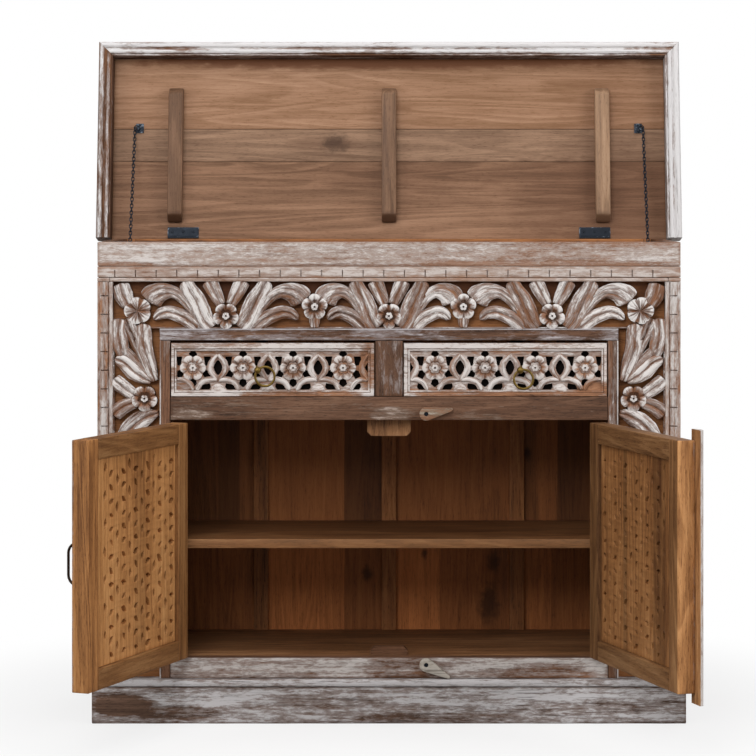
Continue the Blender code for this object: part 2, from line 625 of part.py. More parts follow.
def build_drawer(side):
    """Build one drawer with its carved front, box, ball stud and ring."""
    sign = side_sign(side)
    left = CENTRE_STILE_WIDTH / 2
    front_x = on_side((left + DRAWER_SIDE_GAP, X_OPENING - DRAWER_SIDE_GAP), side)
    box_x = on_side((left + 2 * DRAWER_SIDE_GAP, X_OPENING - 2 * DRAWER_SIDE_GAP), side)
    bottom = Z_DRAWER + SEAT_GAP
    front_z = (bottom, Z_DRAWER_TOP - DRAWER_TOP_GAP)
    middle_z = (front_z[0] + front_z[1]) / 2
    runner = axis_empty("drawer_slide_" + side, (0.0, 0.0, 0.0))

    ground = Y_FRONT + CARVING_RELIEF
    recess = ((front_x[0] + DRAWER_BORDER, front_x[1] - DRAWER_BORDER), (Y_FRONT - CARVING_RELIEF, ground),
              (front_z[0] + DRAWER_BORDER, front_z[1] - DRAWER_BORDER))
    front_y = (Y_FRONT, Y_FRONT + CARVING_THICK)
    front = add_board("drawer_front_" + side, (front_x, front_y, front_z), "carving_wash", runner, 0.0,
                      cuts=[recess])
    recess_x = (left + DRAWER_SIDE_GAP + DRAWER_BORDER, X_OPENING - DRAWER_SIDE_GAP - DRAWER_BORDER)
    first = recess_x[0] + DRAWER_FLOWER_MARGIN + DRAWER_FLOWER_RADIUS
    count = 1 + int((recess_x[1] - DRAWER_FLOWER_RADIUS - first) / DRAWER_FLOWER_PITCH)
    tip = middle_z - front_z[0] - DRAWER_BORDER - DRAWER_LEAF_MARGIN
    raised = []
    for index in range(count):
        x = sign * (first + index * DRAWER_FLOWER_PITCH)
        raised.append((flower_outline((x, middle_z), DRAWER_FLOWER_RADIUS, 6), CARVING_RELIEF))
    for index in range(count - 1):
        x = sign * (first + (index + 0.5) * DRAWER_FLOWER_PITCH)
        for way in (-1, 1):
            leaf = leaf_outline((x, middle_z + way * DRAWER_LEAF_START), (x, middle_z + way * tip),
                                DRAWER_LEAF_WIDTH)
            raised.append((leaf, LEAF_RELIEF))
    carve(front, raised, [], ground, runner)
    seat = ground + ROSE_SEAT_DEPTH
    bm = bmesh.new()
    add_rod(bm, (sign * X_KNOB, Y_FRONT - ROSE_RADIUS, middle_z), (sign * X_KNOB, seat, middle_z),
            ROSE_RADIUS + SEAT_GAP, 20)
    cut_or_join(front, object_from(bm, front.name + "_rose_seat", GUIDES, runner), "DIFFERENCE")

    box_y = (front_y[1] + SEAT_GAP, front_y[1] + SEAT_GAP + DRAWER_LENGTH)
    side_z = (bottom, bottom + DRAWER_SIDE_HEIGHT)
    cavity = ((box_x[0] + DRAWER_BOARD, box_x[1] - DRAWER_BOARD),
              (box_y[0] - DRAWER_BOARD, box_y[1] - DRAWER_BOARD),
              (bottom + DRAWER_BOTTOM_THICK, side_z[1] + DRAWER_BOARD))
    add_board("drawer_box_" + side, (box_x, box_y, side_z), "brown_wood", runner, 0.0, cuts=[cavity])
    build_ring(side, runner, Vector((sign * X_KNOB, Y_FRONT - BALL_REACH, middle_z)), seat - SEAT_GAP)


def build_ring(side, runner, ball, face):
    """Build a ball stud on its seat in a drawer front and the ring that swings in it."""
    lean = RING_LEAN[side]
    hole_axis = Vector((math.cos(lean), 0.0, math.sin(lean)))
    bm = bmesh.new()
    add_rod(bm, (ball.x, face, ball.z), (ball.x, face - ROSE_THICK, ball.z), ROSE_RADIUS, 20)
    stud = object_from(bm, "ring_stud_" + side, PARTS, runner)
    bm = bmesh.new()
    add_rod(bm, (ball.x, face - ROSE_THICK / 2, ball.z), ball, STUD_RADIUS, 12)
    cut_or_join(stud, object_from(bm, stud.name + "_neck", GUIDES, runner), "UNION")
    bm = bmesh.new()
    bmesh.ops.create_uvsphere(bm, u_segments=16, v_segments=10, radius=BALL_RADIUS,
                              matrix=Matrix.Translation(ball) @ Matrix.Rotation(math.pi / 2, 4, "X"))
    cut_or_join(stud, object_from(bm, stud.name + "_ball", GUIDES, runner), "UNION")
    bm = bmesh.new()
    reach = hole_axis * BALL_RADIUS * 2
    add_rod(bm, ball - reach, ball + reach, RING_HOLE, 16)
    cut_or_join(stud, object_from(bm, stud.name + "_hole", GUIDES, runner), "DIFFERENCE")
    finish(stud, "brass")

    swing = axis_empty("ring_swing_" + side, ball, (0.0, -lean, 0.0), runner)
    bpy.ops.mesh.primitive_torus_add(major_segments=28, minor_segments=8, major_radius=RING_RADIUS,
                                     minor_radius=RING_BAR)
    ring = bpy.context.object
    ring.name = "ring_pull_" + side
    ring.data.transform(Matrix.Rotation(math.pi / 2, 4, "X"))
    ring.data.shade_smooth()
    ring.parent = swing
    ring.location = (0.0, 0.0, -RING_RADIUS)
    for group in list(ring.users_collection):
        group.objects.unlink(ring)
    PARTS.objects.link(ring)
    finish(ring, "brass")


def door_hinge_heights():
    """Return the middle heights of a door's two hinges."""
    return (Z_DOOR + DOOR_HINGE_INSET + LEAF_LENGTH / 2, Z_DOOR_TOP - DOOR_HINGE_INSET - LEAF_LENGTH / 2)


def door_pin(side):
    """Return the X and Y of a door's hinge pin."""
    return side_sign(side) * (X_OPENING - DOOR_HINGE_GAP / 2), Y_FRONT - KNUCKLE_PROUD


def knuckle_span(middle):
    """Return the height limits of the middle knuckle of a hinge, which is the door's."""
    half = LEAF_LENGTH / KNUCKLE_COUNT / 2 - SEAT_GAP
    return (middle - half, middle + half)


def add_knuckle(part, pin, z, parent=None):
    """Join an upright knuckle about a pin to a part."""
    bm = bmesh.new()
    add_rod(bm, (*pin, z[0]), (*pin, z[1]), KNUCKLE_PROUD - 2 * SEAT_GAP, 12)
    name = "%s_knuckle_%d" % (part.name, len(part.modifiers))
    cut_or_join(part, object_from(bm, name, GUIDES, parent), "UNION")


def door_ornament(panel_x, panel_z):
    """Return the flowers on a door's panel and the gaps pierced between them."""
    room = (panel_x[1] - panel_x[0], panel_z[1] - panel_z[0])
    columns, rows = [1 + int((space - 2 * DOOR_FLOWER_RADIUS) / pitch)
                     for space, pitch in zip(room, DOOR_FLOWER_PITCH)]
    first_x = (sum(panel_x) - (columns - 1) * DOOR_FLOWER_PITCH[0]) / 2
    first_z = (sum(panel_z) - (rows - 1) * DOOR_FLOWER_PITCH[1]) / 2
    raised = []
    pierced = []
    for column in range(columns):
        for row in range(rows):
            x = first_x + column * DOOR_FLOWER_PITCH[0]
            z = first_z + row * DOOR_FLOWER_PITCH[1]
            raised.append((flower_outline((x, z), DOOR_FLOWER_RADIUS, 6), CARVING_RELIEF))
            if column and row:
                gap = (x - DOOR_FLOWER_PITCH[0] / 2, z - DOOR_FLOWER_PITCH[1] / 2)
                pierced.append(leaf_outline((gap[0], gap[1] - DOOR_GAP_LENGTH / 2),
                                            (gap[0], gap[1] + DOOR_GAP_LENGTH / 2), DOOR_GAP_WIDTH))
    return raised, pierced


def build_door(side):
    """Build one door, shut about its pin, and turn it to its open angle."""
    pin_x, pin_y = door_pin(side)
    turn = DOOR_OPEN[side] * side_sign(side)
    swing = axis_empty("door_swing_" + side, (pin_x, pin_y, 0.0), (0.0, 0.0, turn))

    def across(near, far):
        """Return X limits measured from the pin towards the free edge."""
        return (near, far) if side == "left" else (-far, -near)

    hinge_edge = DOOR_HINGE_GAP / 2
    free_edge = X_OPENING - DOOR_HINGE_GAP / 2 - DOOR_GAP / 2
    y = (KNUCKLE_PROUD, KNUCKLE_PROUD + FRAME_THICK)
    z = (Z_DOOR + DOOR_GAP, Z_DOOR_TOP - DOOR_GAP)
    inner_x = across(hinge_edge + DOOR_STILE, free_edge - DOOR_STILE)
    inner_z = (z[0] + DOOR_RAIL, z[1] - DOOR_RAIL)
    leaves = []
    for middle in door_hinge_heights():
        leaves.append((across(SEAT_GAP, hinge_edge + LEAF_THICK), (y[0], y[0] + LEAF_DEPTH),
                       (middle - LEAF_LENGTH / 2, middle + LEAF_LENGTH / 2)))
        leaves.append((across(SEAT_GAP, hinge_edge), (0.0, y[0] + LEAF_THICK), knuckle_span(middle)))
    frame = add_board("door_frame_" + side, (across(hinge_edge, free_edge), y, z), "orange_wood", swing,
                      cuts=[(inner_x, (0.0, y[1] + FRAME_THICK), inner_z)], joins=leaves)
    for middle in door_hinge_heights():
        add_knuckle(frame, (0.0, 0.0), knuckle_span(middle), swing)

    panel_y = (KNUCKLE_PROUD + DOOR_PANEL_SETBACK, KNUCKLE_PROUD + DOOR_PANEL_SETBACK + DOOR_PANEL_THICK)
    panel_x = (inner_x[0] + SEAT_GAP, inner_x[1] - SEAT_GAP)
    panel_z = (inner_z[0] + SEAT_GAP, inner_z[1] - SEAT_GAP)
    panel = add_board("door_panel_" + side, (panel_x, panel_y, panel_z), "orange_wood", swing, 0.0)
    carve(panel, *door_ornament(panel_x, panel_z), panel_y[0], swing)
    build_handle(side, swing, across(free_edge - HANDLE_INSET, 0.0)[0 if side == "left" else 1],
                 (z[0] + z[1]) / 2)
    if side == "right":
        build_astragal(swing, z)


def build_astragal(swing, z):
    """Build the half-round strip that covers the gap between the doors."""
    middle = -(X_OPENING - DOOR_HINGE_GAP / 2)
    back = KNUCKLE_PROUD - SEAT_GAP
    bm = bmesh.new()
    add_box(bm, (middle - ASTRAGAL_WIDTH / 2, middle + ASTRAGAL_WIDTH / 2), (back - ASTRAGAL_THICK, back),
            (z[0] - ASTRAGAL_OVERRUN, z[1] + ASTRAGAL_OVERRUN))
    rounded = [edge for edge in bm.edges
               if all(vert.co.y < back - ASTRAGAL_THICK / 2 for vert in edge.verts)
               and abs(edge.verts[0].co.z - edge.verts[1].co.z) > ASTRAGAL_WIDTH]
    bmesh.ops.bevel(bm, geom=rounded, offset=ASTRAGAL_THICK * 0.85, segments=5, profile=0.5,
                    affect="EDGES", material=-1)
    finish(object_from(bm, "astragal", PARTS, swing), "whitewash")


def build_handle(side, swing, x, z):
    """Build a bow handle: a bent bar between two feet on the door's face."""
    half = HANDLE_HEIGHT / 2
    face = KNUCKLE_PROUD - SEAT_GAP
    bar = face - HANDLE_REACH
    bend = HANDLE_BEND
    steps = 4
    points = [(x, face, z - half)]
    for corner in (-1, 1):
        for index in range(steps + 1):
            angle = math.pi / 2 * index / steps
            if corner < 0:
                point = (x, bar + bend * (1 - math.sin(angle)), z - half + bend * (1 - math.cos(angle)))
            else:
                point = (x, bar + bend * (1 - math.cos(angle)), z + half - bend * (1 - math.sin(angle)))
            points.append(point)
    points.append((x, face, z + half))
    curve = bpy.data.curves.new("door_handle_" + side, "CURVE")
    curve.dimensions = "3D"
    curve.bevel_depth = HANDLE_BAR
    curve.bevel_resolution = 2
    curve.use_fill_caps = True
    spline = curve.splines.new("POLY")
    spline.points.add(len(points) - 1)
    for target, point in zip(spline.points, points):
        target.co = (*point, 1.0)
    handle = bpy.data.objects.new("door_handle_" + side, curve)
    handle.parent = swing
    PARTS.objects.link(handle)
    finish(handle, "bronze")


def build_door_hinges():
    """Build the leaf and knuckle of each door hinge that stay on the case's stiles."""
    for side in ("left", "right"):
        pin_x, pin_y = door_pin(side)
        leaf_x = on_side((abs(pin_x) + SEAT_GAP, X_OPENING - SEAT_GAP), side)
        for place, middle in zip(("lower", "upper"), door_hinge_heights()):
            z = (middle - LEAF_LENGTH / 2, middle + LEAF_LENGTH / 2)
            gap = (knuckle_span(middle)[0] - SEAT_GAP, knuckle_span(middle)[1] + SEAT_GAP)
            outer_spans = ((z[0], gap[0]), (gap[1], z[1]))
            lugs = [(leaf_x, (pin_y, Y_FRONT + LEAF_THICK), span) for span in outer_spans]
            name = "door_hinge_%s_%s" % (side, place)
            hinge = add_board(name, (leaf_x, (Y_FRONT, Y_FRONT + LEAF_DEPTH), z), "black_iron", edge=0.0,
                              joins=lugs)
            for span in outer_spans:
                add_knuckle(hinge, (pin_x, pin_y), span)


def latch_places():
    """Return each turn latch's name, pivot height and rest angle."""
    return (("top", Z_DOOR_TOP + LATCH_TOP_RISE, LATCH_TOP_ANGLE),
            ("bottom", Z_DOOR - LATCH_BOTTOM_DROP, LATCH_BOTTOM_ANGLE))


def teardrop():
    """Return the outline of a turn latch, round at its screw and small at its tip."""
    tangent = math.acos((LATCH_RADIUS - LATCH_TIP_RADIUS) / LATCH_LENGTH)
    steps = 14
    points = []
    for index in range(steps + 1):
        angle = tangent + (2 * math.pi - 2 * tangent) * index / steps
        points.append((LATCH_RADIUS * math.cos(angle), LATCH_RADIUS * math.sin(angle)))
    for index in range(5):
        angle = -tangent + 2 * tangent * index / 4
        points.append((LATCH_LENGTH + LATCH_TIP_RADIUS * math.cos(angle),
                       LATCH_TIP_RADIUS * math.sin(angle)))
    return points


def build_latches():
    """Build the two wooden turn latches."""
    middle_y = Y_FRONT - SEAT_GAP - LATCH_THICK / 2
    for name, z, angle in latch_places():
        turn = axis_empty("latch_turn_" + name, (LATCH_X, middle_y, z), (0.0, -angle, 0.0))
        curve = bpy.data.curves.new("turn_latch_" + name, "CURVE")
        curve.dimensions = "2D"
        curve.fill_mode = "BOTH"
        curve.extrude = LATCH_THICK / 2
        outline = teardrop()
        spline = curve.splines.new("POLY")
        spline.points.add(len(outline) - 1)
        spline.use_cyclic_u = True
        for target, (u, v) in zip(spline.points, outline):
            target.co = (u, v, 0.0, 1.0)
        latch = bpy.data.objects.new("turn_latch_" + name, curve)
        latch.rotation_euler = (math.pi / 2, 0.0, 0.0)
        latch.parent = turn
        PARTS.objects.link(latch)
        finish(latch, "carving_wash")


def build_batten(name, middle, under, swing):
    """Build a batten under the lid with its lower ends cut off."""
    bm = bmesh.new()
    low = under - SEAT_GAP - BATTEN_THICK
    add_box(bm, (middle - BATTEN_WIDTH / 2, middle + BATTEN_WIDTH / 2), (-BATTEN_END, -BATTEN_START),
            (low, under - SEAT_GAP))
    ends = [edge for edge in bm.edges
            if all(abs(vert.co.z - low) < SEAT_GAP / 2 for vert in edge.verts)
            and abs(edge.verts[0].co.y - edge.verts[1].co.y) < SEAT_GAP / 2]
    bmesh.ops.bevel(bm, geom=ends, offset=BATTEN_CHAMFER, segments=1, profile=0.5,
                    affect="EDGES", material=-1)
    finish(object_from(bm, name, PARTS, swing), "brown_wood")


def build_lid():
    """Build the lid shut about its pin, and turn it to its open angle."""
    half = HALF_WIDTH + LID_SIDE_GAP + LID_RIM_WIDTH
    pin = Vector((0.0, Y_BACK + SEAT_GAP, CASE_TOP + LID_PIN_RISE))
    swing = axis_empty("lid_swing", pin, (-LID_OPEN, 0.0, 0.0))
    under = LID_SEAT_GAP - LID_PIN_RISE
    board_z = (under, under + LID_THICK)
    front_inner = -(CASE_DEPTH + LID_FRONT_GAP)
    rim_z = (under - LID_RIM_DROP, under + LID_THICK)
    inner_x = (-half + LID_RIM_WIDTH + SEAT_GAP, half - LID_RIM_WIDTH - SEAT_GAP)
    add_board("lid_rim_front", ((-half, half), (front_inner - LID_RIM_WIDTH, front_inner), rim_z),
              "whitewash", swing, LID_RIM_EDGE)
    for side in ("left", "right"):
        add_board("lid_rim_" + side, (on_side((half - LID_RIM_WIDTH, half), side),
                                      (front_inner + SEAT_GAP, LID_REAR_OVERHANG), rim_z),
                  "whitewash", swing, LID_RIM_EDGE)
    seams = [((-HALF_WIDTH * 2, HALF_WIDTH * 2), (-seam - SEAM_WIDTH / 2, -seam + SEAM_WIDTH / 2),
              (under - SEAM_DEPTH, under + SEAM_DEPTH)) for seam in LID_SEAMS]
    add_board("lid_panel", (inner_x, (front_inner + SEAT_GAP, LID_REAR_OVERHANG), board_z), "brown_wood",
              swing, 0.0, cuts=seams)
    for name, place in (("left", -1), ("middle", 0), ("right", 1)):
        build_batten("lid_batten_" + name, place * (HALF_WIDTH - BATTEN_INSET), under, swing)
    leaf_z = (under - SEAT_GAP - LEAF_THICK, under - SEAT_GAP)
    for side in ("left", "right"):
        middle = side_sign(side) * (HALF_WIDTH - LID_HINGE_INSET)
        x = (middle - LEAF_LENGTH / 2, middle + LEAF_LENGTH / 2)
        name = "lid_hinge_" + side
        leaf = add_board(name, (x, (-LID_LEAF_DEPTH, 0.0), leaf_z), "black_iron", swing, 0.0)
        bm = bmesh.new()
        add_rod(bm, (x[0], 0.0, 0.0), (x[1], 0.0, 0.0), LID_PIN_RISE - SEAT_GAP, 12)
        cut_or_join(leaf, object_from(bm, name + "_knuckle", GUIDES, swing), "UNION")
    open_turn = Matrix.Translation(pin) @ Matrix.Rotation(-LID_OPEN, 4, "X")
    for side in ("left", "right"):
        build_chain(side, open_turn, under)


def build_chain(side, open_turn, under):
    """Build the plain run of a stay chain, from the case's side to the open lid."""
    x = side_sign(side) * (X_INSIDE - CHAIN_INSET)
    wall = Vector((side_sign(side) * (X_INSIDE - SEAT_GAP), EYE_Y, CASE_TOP - EYE_DROP))
    eye = Vector((x, wall.y, wall.z))
    hook = open_turn @ Vector((x, -CHAIN_REACH, under - CHAIN_STAND_OFF))
    face = open_turn @ Vector((x, -CHAIN_REACH, under - SEAT_GAP))
    curve = bpy.data.curves.new("lid_chain_" + side, "CURVE")
    curve.dimensions = "3D"
    curve.bevel_depth = CHAIN_RADIUS
    curve.bevel_resolution = 2
    curve.use_fill_caps = True
    spline = curve.splines.new("POLY")
    spline.points.add(3)
    for target, point in zip(spline.points, (wall, eye, hook, face)):
        target.co = (*point, 1.0)
    chain = bpy.data.objects.new("lid_chain_" + side, curve)
    PARTS.objects.link(chain)
    finish(chain, "black_iron")


clear_scene()
PARTS = collection("carved_cabinet")
GUIDES = collection("cutters_and_axes")
build_plinth()
build_sides()
build_back()
build_front_frame()
build_carving()
build_inside()
for drawer_side in ("left", "right"):
    build_drawer(drawer_side)
    build_door(drawer_side)
build_door_hinges()
build_latches()
build_lid()
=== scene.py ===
"""The looks of a carved and whitewashed wooden cabinet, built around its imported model."""

from __future__ import annotations

import json
import logging
import math
from dataclasses import dataclass
from enum import Enum
from functools import cache
from typing import ClassVar, Iterable, Sequence

import bmesh
import bpy
from mathutils import Euler, Matrix, Vector, noise
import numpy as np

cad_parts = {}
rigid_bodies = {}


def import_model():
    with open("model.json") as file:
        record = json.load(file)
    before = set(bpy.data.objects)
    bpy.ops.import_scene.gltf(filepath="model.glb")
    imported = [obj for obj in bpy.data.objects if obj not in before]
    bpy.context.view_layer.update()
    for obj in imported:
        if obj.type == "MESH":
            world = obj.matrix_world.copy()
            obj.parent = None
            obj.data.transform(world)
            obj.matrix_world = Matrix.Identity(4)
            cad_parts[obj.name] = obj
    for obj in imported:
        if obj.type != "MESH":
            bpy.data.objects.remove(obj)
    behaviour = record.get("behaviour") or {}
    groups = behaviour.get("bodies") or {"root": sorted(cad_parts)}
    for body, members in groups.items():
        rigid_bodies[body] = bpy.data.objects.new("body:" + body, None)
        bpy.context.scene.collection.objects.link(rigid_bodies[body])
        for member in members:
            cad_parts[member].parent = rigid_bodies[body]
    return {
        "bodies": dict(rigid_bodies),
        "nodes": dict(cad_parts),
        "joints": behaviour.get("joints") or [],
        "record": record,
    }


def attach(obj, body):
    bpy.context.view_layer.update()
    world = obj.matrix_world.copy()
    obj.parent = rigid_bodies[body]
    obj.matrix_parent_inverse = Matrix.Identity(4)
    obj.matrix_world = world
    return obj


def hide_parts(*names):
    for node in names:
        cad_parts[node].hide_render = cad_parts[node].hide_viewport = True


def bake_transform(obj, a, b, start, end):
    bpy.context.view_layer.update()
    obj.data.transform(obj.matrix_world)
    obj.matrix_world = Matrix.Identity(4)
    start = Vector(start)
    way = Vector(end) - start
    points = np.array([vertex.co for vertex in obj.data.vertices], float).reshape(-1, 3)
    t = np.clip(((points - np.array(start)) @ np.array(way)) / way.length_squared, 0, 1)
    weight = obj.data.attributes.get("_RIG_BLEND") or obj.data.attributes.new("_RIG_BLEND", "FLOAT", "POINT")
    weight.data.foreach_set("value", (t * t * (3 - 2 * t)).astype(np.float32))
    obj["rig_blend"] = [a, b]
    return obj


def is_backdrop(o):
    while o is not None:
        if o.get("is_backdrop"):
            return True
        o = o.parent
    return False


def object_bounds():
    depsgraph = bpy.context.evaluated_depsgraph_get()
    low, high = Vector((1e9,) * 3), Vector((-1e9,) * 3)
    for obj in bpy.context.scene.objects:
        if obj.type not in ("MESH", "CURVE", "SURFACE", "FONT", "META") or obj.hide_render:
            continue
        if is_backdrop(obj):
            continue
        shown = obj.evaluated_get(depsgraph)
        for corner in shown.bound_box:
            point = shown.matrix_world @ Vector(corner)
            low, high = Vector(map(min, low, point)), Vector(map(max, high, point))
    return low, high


LOG = logging.getLogger("cabinet")

Colour = tuple[float, float, float]
Point = tuple[float, float, float]
Flat = tuple[float, float]
Span = tuple[float, float]
Vert = bmesh.types.BMVert

SIDES = (("left", -1), ("right", 1))
FORWARD, RIGHT, UP, DOWN = (0.0, -1.0, 0.0), (1.0, 0.0, 0.0), (0.0, 0.0, 1.0), (0.0, 0.0, -1.0)
EVEN = 0.55              # the paint value of a flat surface, where relief changes nothing
SMOOTH = 32.0            # the angle, in degrees, past which an edge stays sharp


def srgb(code: int) -> Colour:
    """Turn a colour written as 0xRRGGBB into the linear colour that Blender mixes.

    Args:
        code: The colour.

    Returns:
        The linear colour.
    """
    shares = (code >> 16 & 255, code >> 8 & 255, code & 255)
    return tuple(
        value / 255 / 12.92 if value <= 10 else ((value / 255 + 0.055) / 1.055) ** 2.4 for value in shares)


class Value:
    """A number that varies over a surface, which takes Python's arithmetic."""

    def __init__(self, paint: Paint, socket: bpy.types.NodeSocket) -> None:
        """Wrap an output socket of a material that is being painted."""
        self.paint = paint
        self.socket = socket

    def _math(self, operation: str, first: object, second: object) -> Value:
        """Add a Math node for two values or numbers."""
        return self.paint.node("ShaderNodeMath", {"operation": operation}, {0: first, 1: second})

    def __add__(self, other: object) -> Value:
        """Add a value or a number."""
        return self._math("ADD", self, other)

    def __sub__(self, other: object) -> Value:
        """Take a value or a number away."""
        return self._math("SUBTRACT", self, other)

    def __mul__(self, other: object) -> Value:
        """Multiply by a value or a number."""
        return self._math("MULTIPLY", self, other)

    def __rsub__(self, other: object) -> Value:
        """Take this value away from a number."""
        return self._math("SUBTRACT", other, self)

    __radd__ = __add__
    __rmul__ = __mul__

    def most(self, other: object) -> Value:
        """Keep the larger of two values."""
        return self._math("MAXIMUM", self, other)

    def step(self, low: float, high: float) -> Value:
        """Rise smoothly from 0 at low to 1 at high, or fall where high is the smaller.

        Args:
            low: Where the step is 0.
            high: Where the step is 1.

        Returns:
            The stepped value.
        """
        settings = {"interpolation_type": "SMOOTHSTEP"}
        if high < low:
            return 1.0 - self.step(high, low)
        return self.paint.node("ShaderNodeMapRange", settings, {"Value": self, 1: low, 2: high})


class Paint:
    """The nodes of one material."""

    def __init__(self, name: str) -> None:
        """Start a material with a Principled shader.

        Args:
            name: The material's name.
        """
        self.material = bpy.data.materials.new(name)
        self.material.use_nodes = True
        self.tree = self.material.node_tree
        self.tree.nodes.clear()
        self.shader = self.tree.nodes.new("ShaderNodeBsdfPrincipled")
        self.output = self.tree.nodes.new("ShaderNodeOutputMaterial")
        self.tree.links.new(self.shader.outputs[0], self.output.inputs["Surface"])

    def _feed(self, socket: bpy.types.NodeSocket, value: object) -> None:
        """Link a value to a socket, or set a constant on it.

        Args:
            socket: The input.
            value: The value, number or colour.
        """
        if isinstance(value, Value):
            self.tree.links.new(value.socket, socket)
        elif isinstance(value, (tuple, list)) and len(value) == 3 and socket.type == "RGBA":
            socket.default_value = (*value, 1.0)
        else:
            socket.default_value = value

    def node(self, kind: str, settings: dict | None = None, sockets: dict | None = None, output: int
             | str = 0) -> Value:
        """Add a node of any kind.

        Args:
            kind: The node's type.
            settings: Its settings, which are set first, such as an operation or a ramp's stops.
            sockets: The value or link of each input, by name or place.
            output: The output to give back.

        Returns:
            The output as a value.
        """
        made = self.tree.nodes.new(kind)
        for key, value in (settings or {}).items():
            if key == "steps":
                made.color_ramp.interpolation = "CONSTANT"
            elif key == "stops":
                ramp = made.color_ramp.elements
                ramp.remove(ramp[1])
                (ramp[0].position, first), *others = value
                ramp[0].color = (*first, 1.0)
                for place, colour in others:
                    ramp.new(place).color = (*colour, 1.0)
            else:
                setattr(made, key, value)
        for key, value in (sockets or {}).items():
            self._feed(made.inputs[key], value)
        return Value(self, made.outputs[output])

    def mix(self, share: object, first: object, second: object, blend: str = "MIX") -> Value:
        """Mix two colours by a share."""
        settings = {"data_type": "RGBA", "blend_type": blend, "clamp_factor": True}
        return self.node("ShaderNodeMix", settings, {0: share, 6: first, 7: second}, 2)

    def noise(self, place: Value, stretch: Point, detail: float = 4.0, rough: float = 0.55,
              twist: float = 0.0, gain: float = 1.0) -> Value:
        """Make noise whose features are about 1 / stretch metres long.

        Args:
            place: The coordinates.
            stretch: The scale along each axis.
            detail: The number of finer octaves.
            rough: How strong the finer octaves are.
            twist: The noise's distortion.
            gain: How far the noise is spread about 0.5.

        Returns:
            The noise, mostly from 0 to 1.
        """
        scaled = self.node("ShaderNodeMapping", {}, {"Vector": place, "Scale": stretch})
        sockets = {"Vector": scaled, "Scale": 1.0, "Detail": detail, "Roughness": rough, "Distortion": twist}
        made = self.node("ShaderNodeTexNoise", {}, sockets)
        return made if gain == 1.0 else (made - 0.5) * gain + 0.5

    def attribute(self, name: str) -> Value:
        """Read a number that the mesh holds at its points."""
        return self.node("ShaderNodeAttribute", {"attribute_name": name}, {}, "Fac")

    def finish(self, **sockets: object) -> bpy.types.Material:
        """Feed the Principled shader's sockets, with _ for a space in a name, and give the material.

        Args:
            sockets: What each input gets.

        Returns:
            The material.
        """
        for name, value in sockets.items():
            self._feed(self.shader.inputs[name.replace("_", " ")], value)
        return self.material

    def show(self, shader: Value) -> bpy.types.Material:
        """Show another shader in place of the Principled one, and give the material.

        Args:
            shader: The other shader.

        Returns:
            The material.
        """
        self.tree.nodes.remove(self.shader)
        self.tree.links.new(shader.socket, self.output.inputs["Surface"])
        return self.material

    def bump(self, height: Value, depth: float) -> Value:
        """Turn a height into a normal."""
        return self.node("ShaderNodeBump", {}, {"Strength": 1.0, "Distance": depth, "Height": height})


class Grain(Enum):
    """The way that a board's grain runs, as the turn that lays it along X."""

    ALONG_X = (0.0, 0.0, 0.0)
    ALONG_Y = (0.0, 0.0, -math.pi / 2)
    ALONG_Z = (math.pi / 2, 0.0, math.pi / 2)


@dataclass(frozen=True)
class Lay:
    """How a material's pattern lies on a piece.

    Attributes:
        grain: The way the grain runs in the piece's own frame.
        origin: Where the piece's own frame lies in the cabinet's.
        turn: How it is turned there, as Euler angles.
        shift: How far the pattern is shifted, so that no two boards look alike.
        carved: Whether the pattern follows the strokes of the carving.
    """

    grain: Grain = Grain.ALONG_X
    origin: Point = (0.0, 0.0, 0.0)
    turn: Point = (0.0, 0.0, 0.0)
    shift: float = 0.0
    carved: bool = False

    def own(self, paint: Paint) -> Value:
        """Give the coordinates in the piece's own frame.

        Args:
            paint: The material's nodes.

        Returns:
            The coordinates.
        """
        back = Euler(self.turn).to_matrix().inverted()
        offset = -(back @ Vector(self.origin))
        coordinates = paint.node("ShaderNodeTexCoord", {}, {}, "Object")
        return paint.node("ShaderNodeMapping", {}, {
            "Vector": coordinates, "Location": tuple(offset), "Rotation": tuple(back.to_euler())})

    def grained(self, paint: Paint) -> Value:
        """Give the coordinates with X along the grain.

        Args:
            paint: The material's nodes.

        Returns:
            The coordinates.
        """
        shift = (self.shift, self.shift * 0.37, self.shift * 0.61)
        if self.carved:
            return paint.node("ShaderNodeAttribute", {"attribute_name": "flow"}, {}, "Vector")
        return paint.node("ShaderNodeMapping", {}, {
            "Vector": self.own(paint), "Location": shift, "Rotation": self.grain.value})


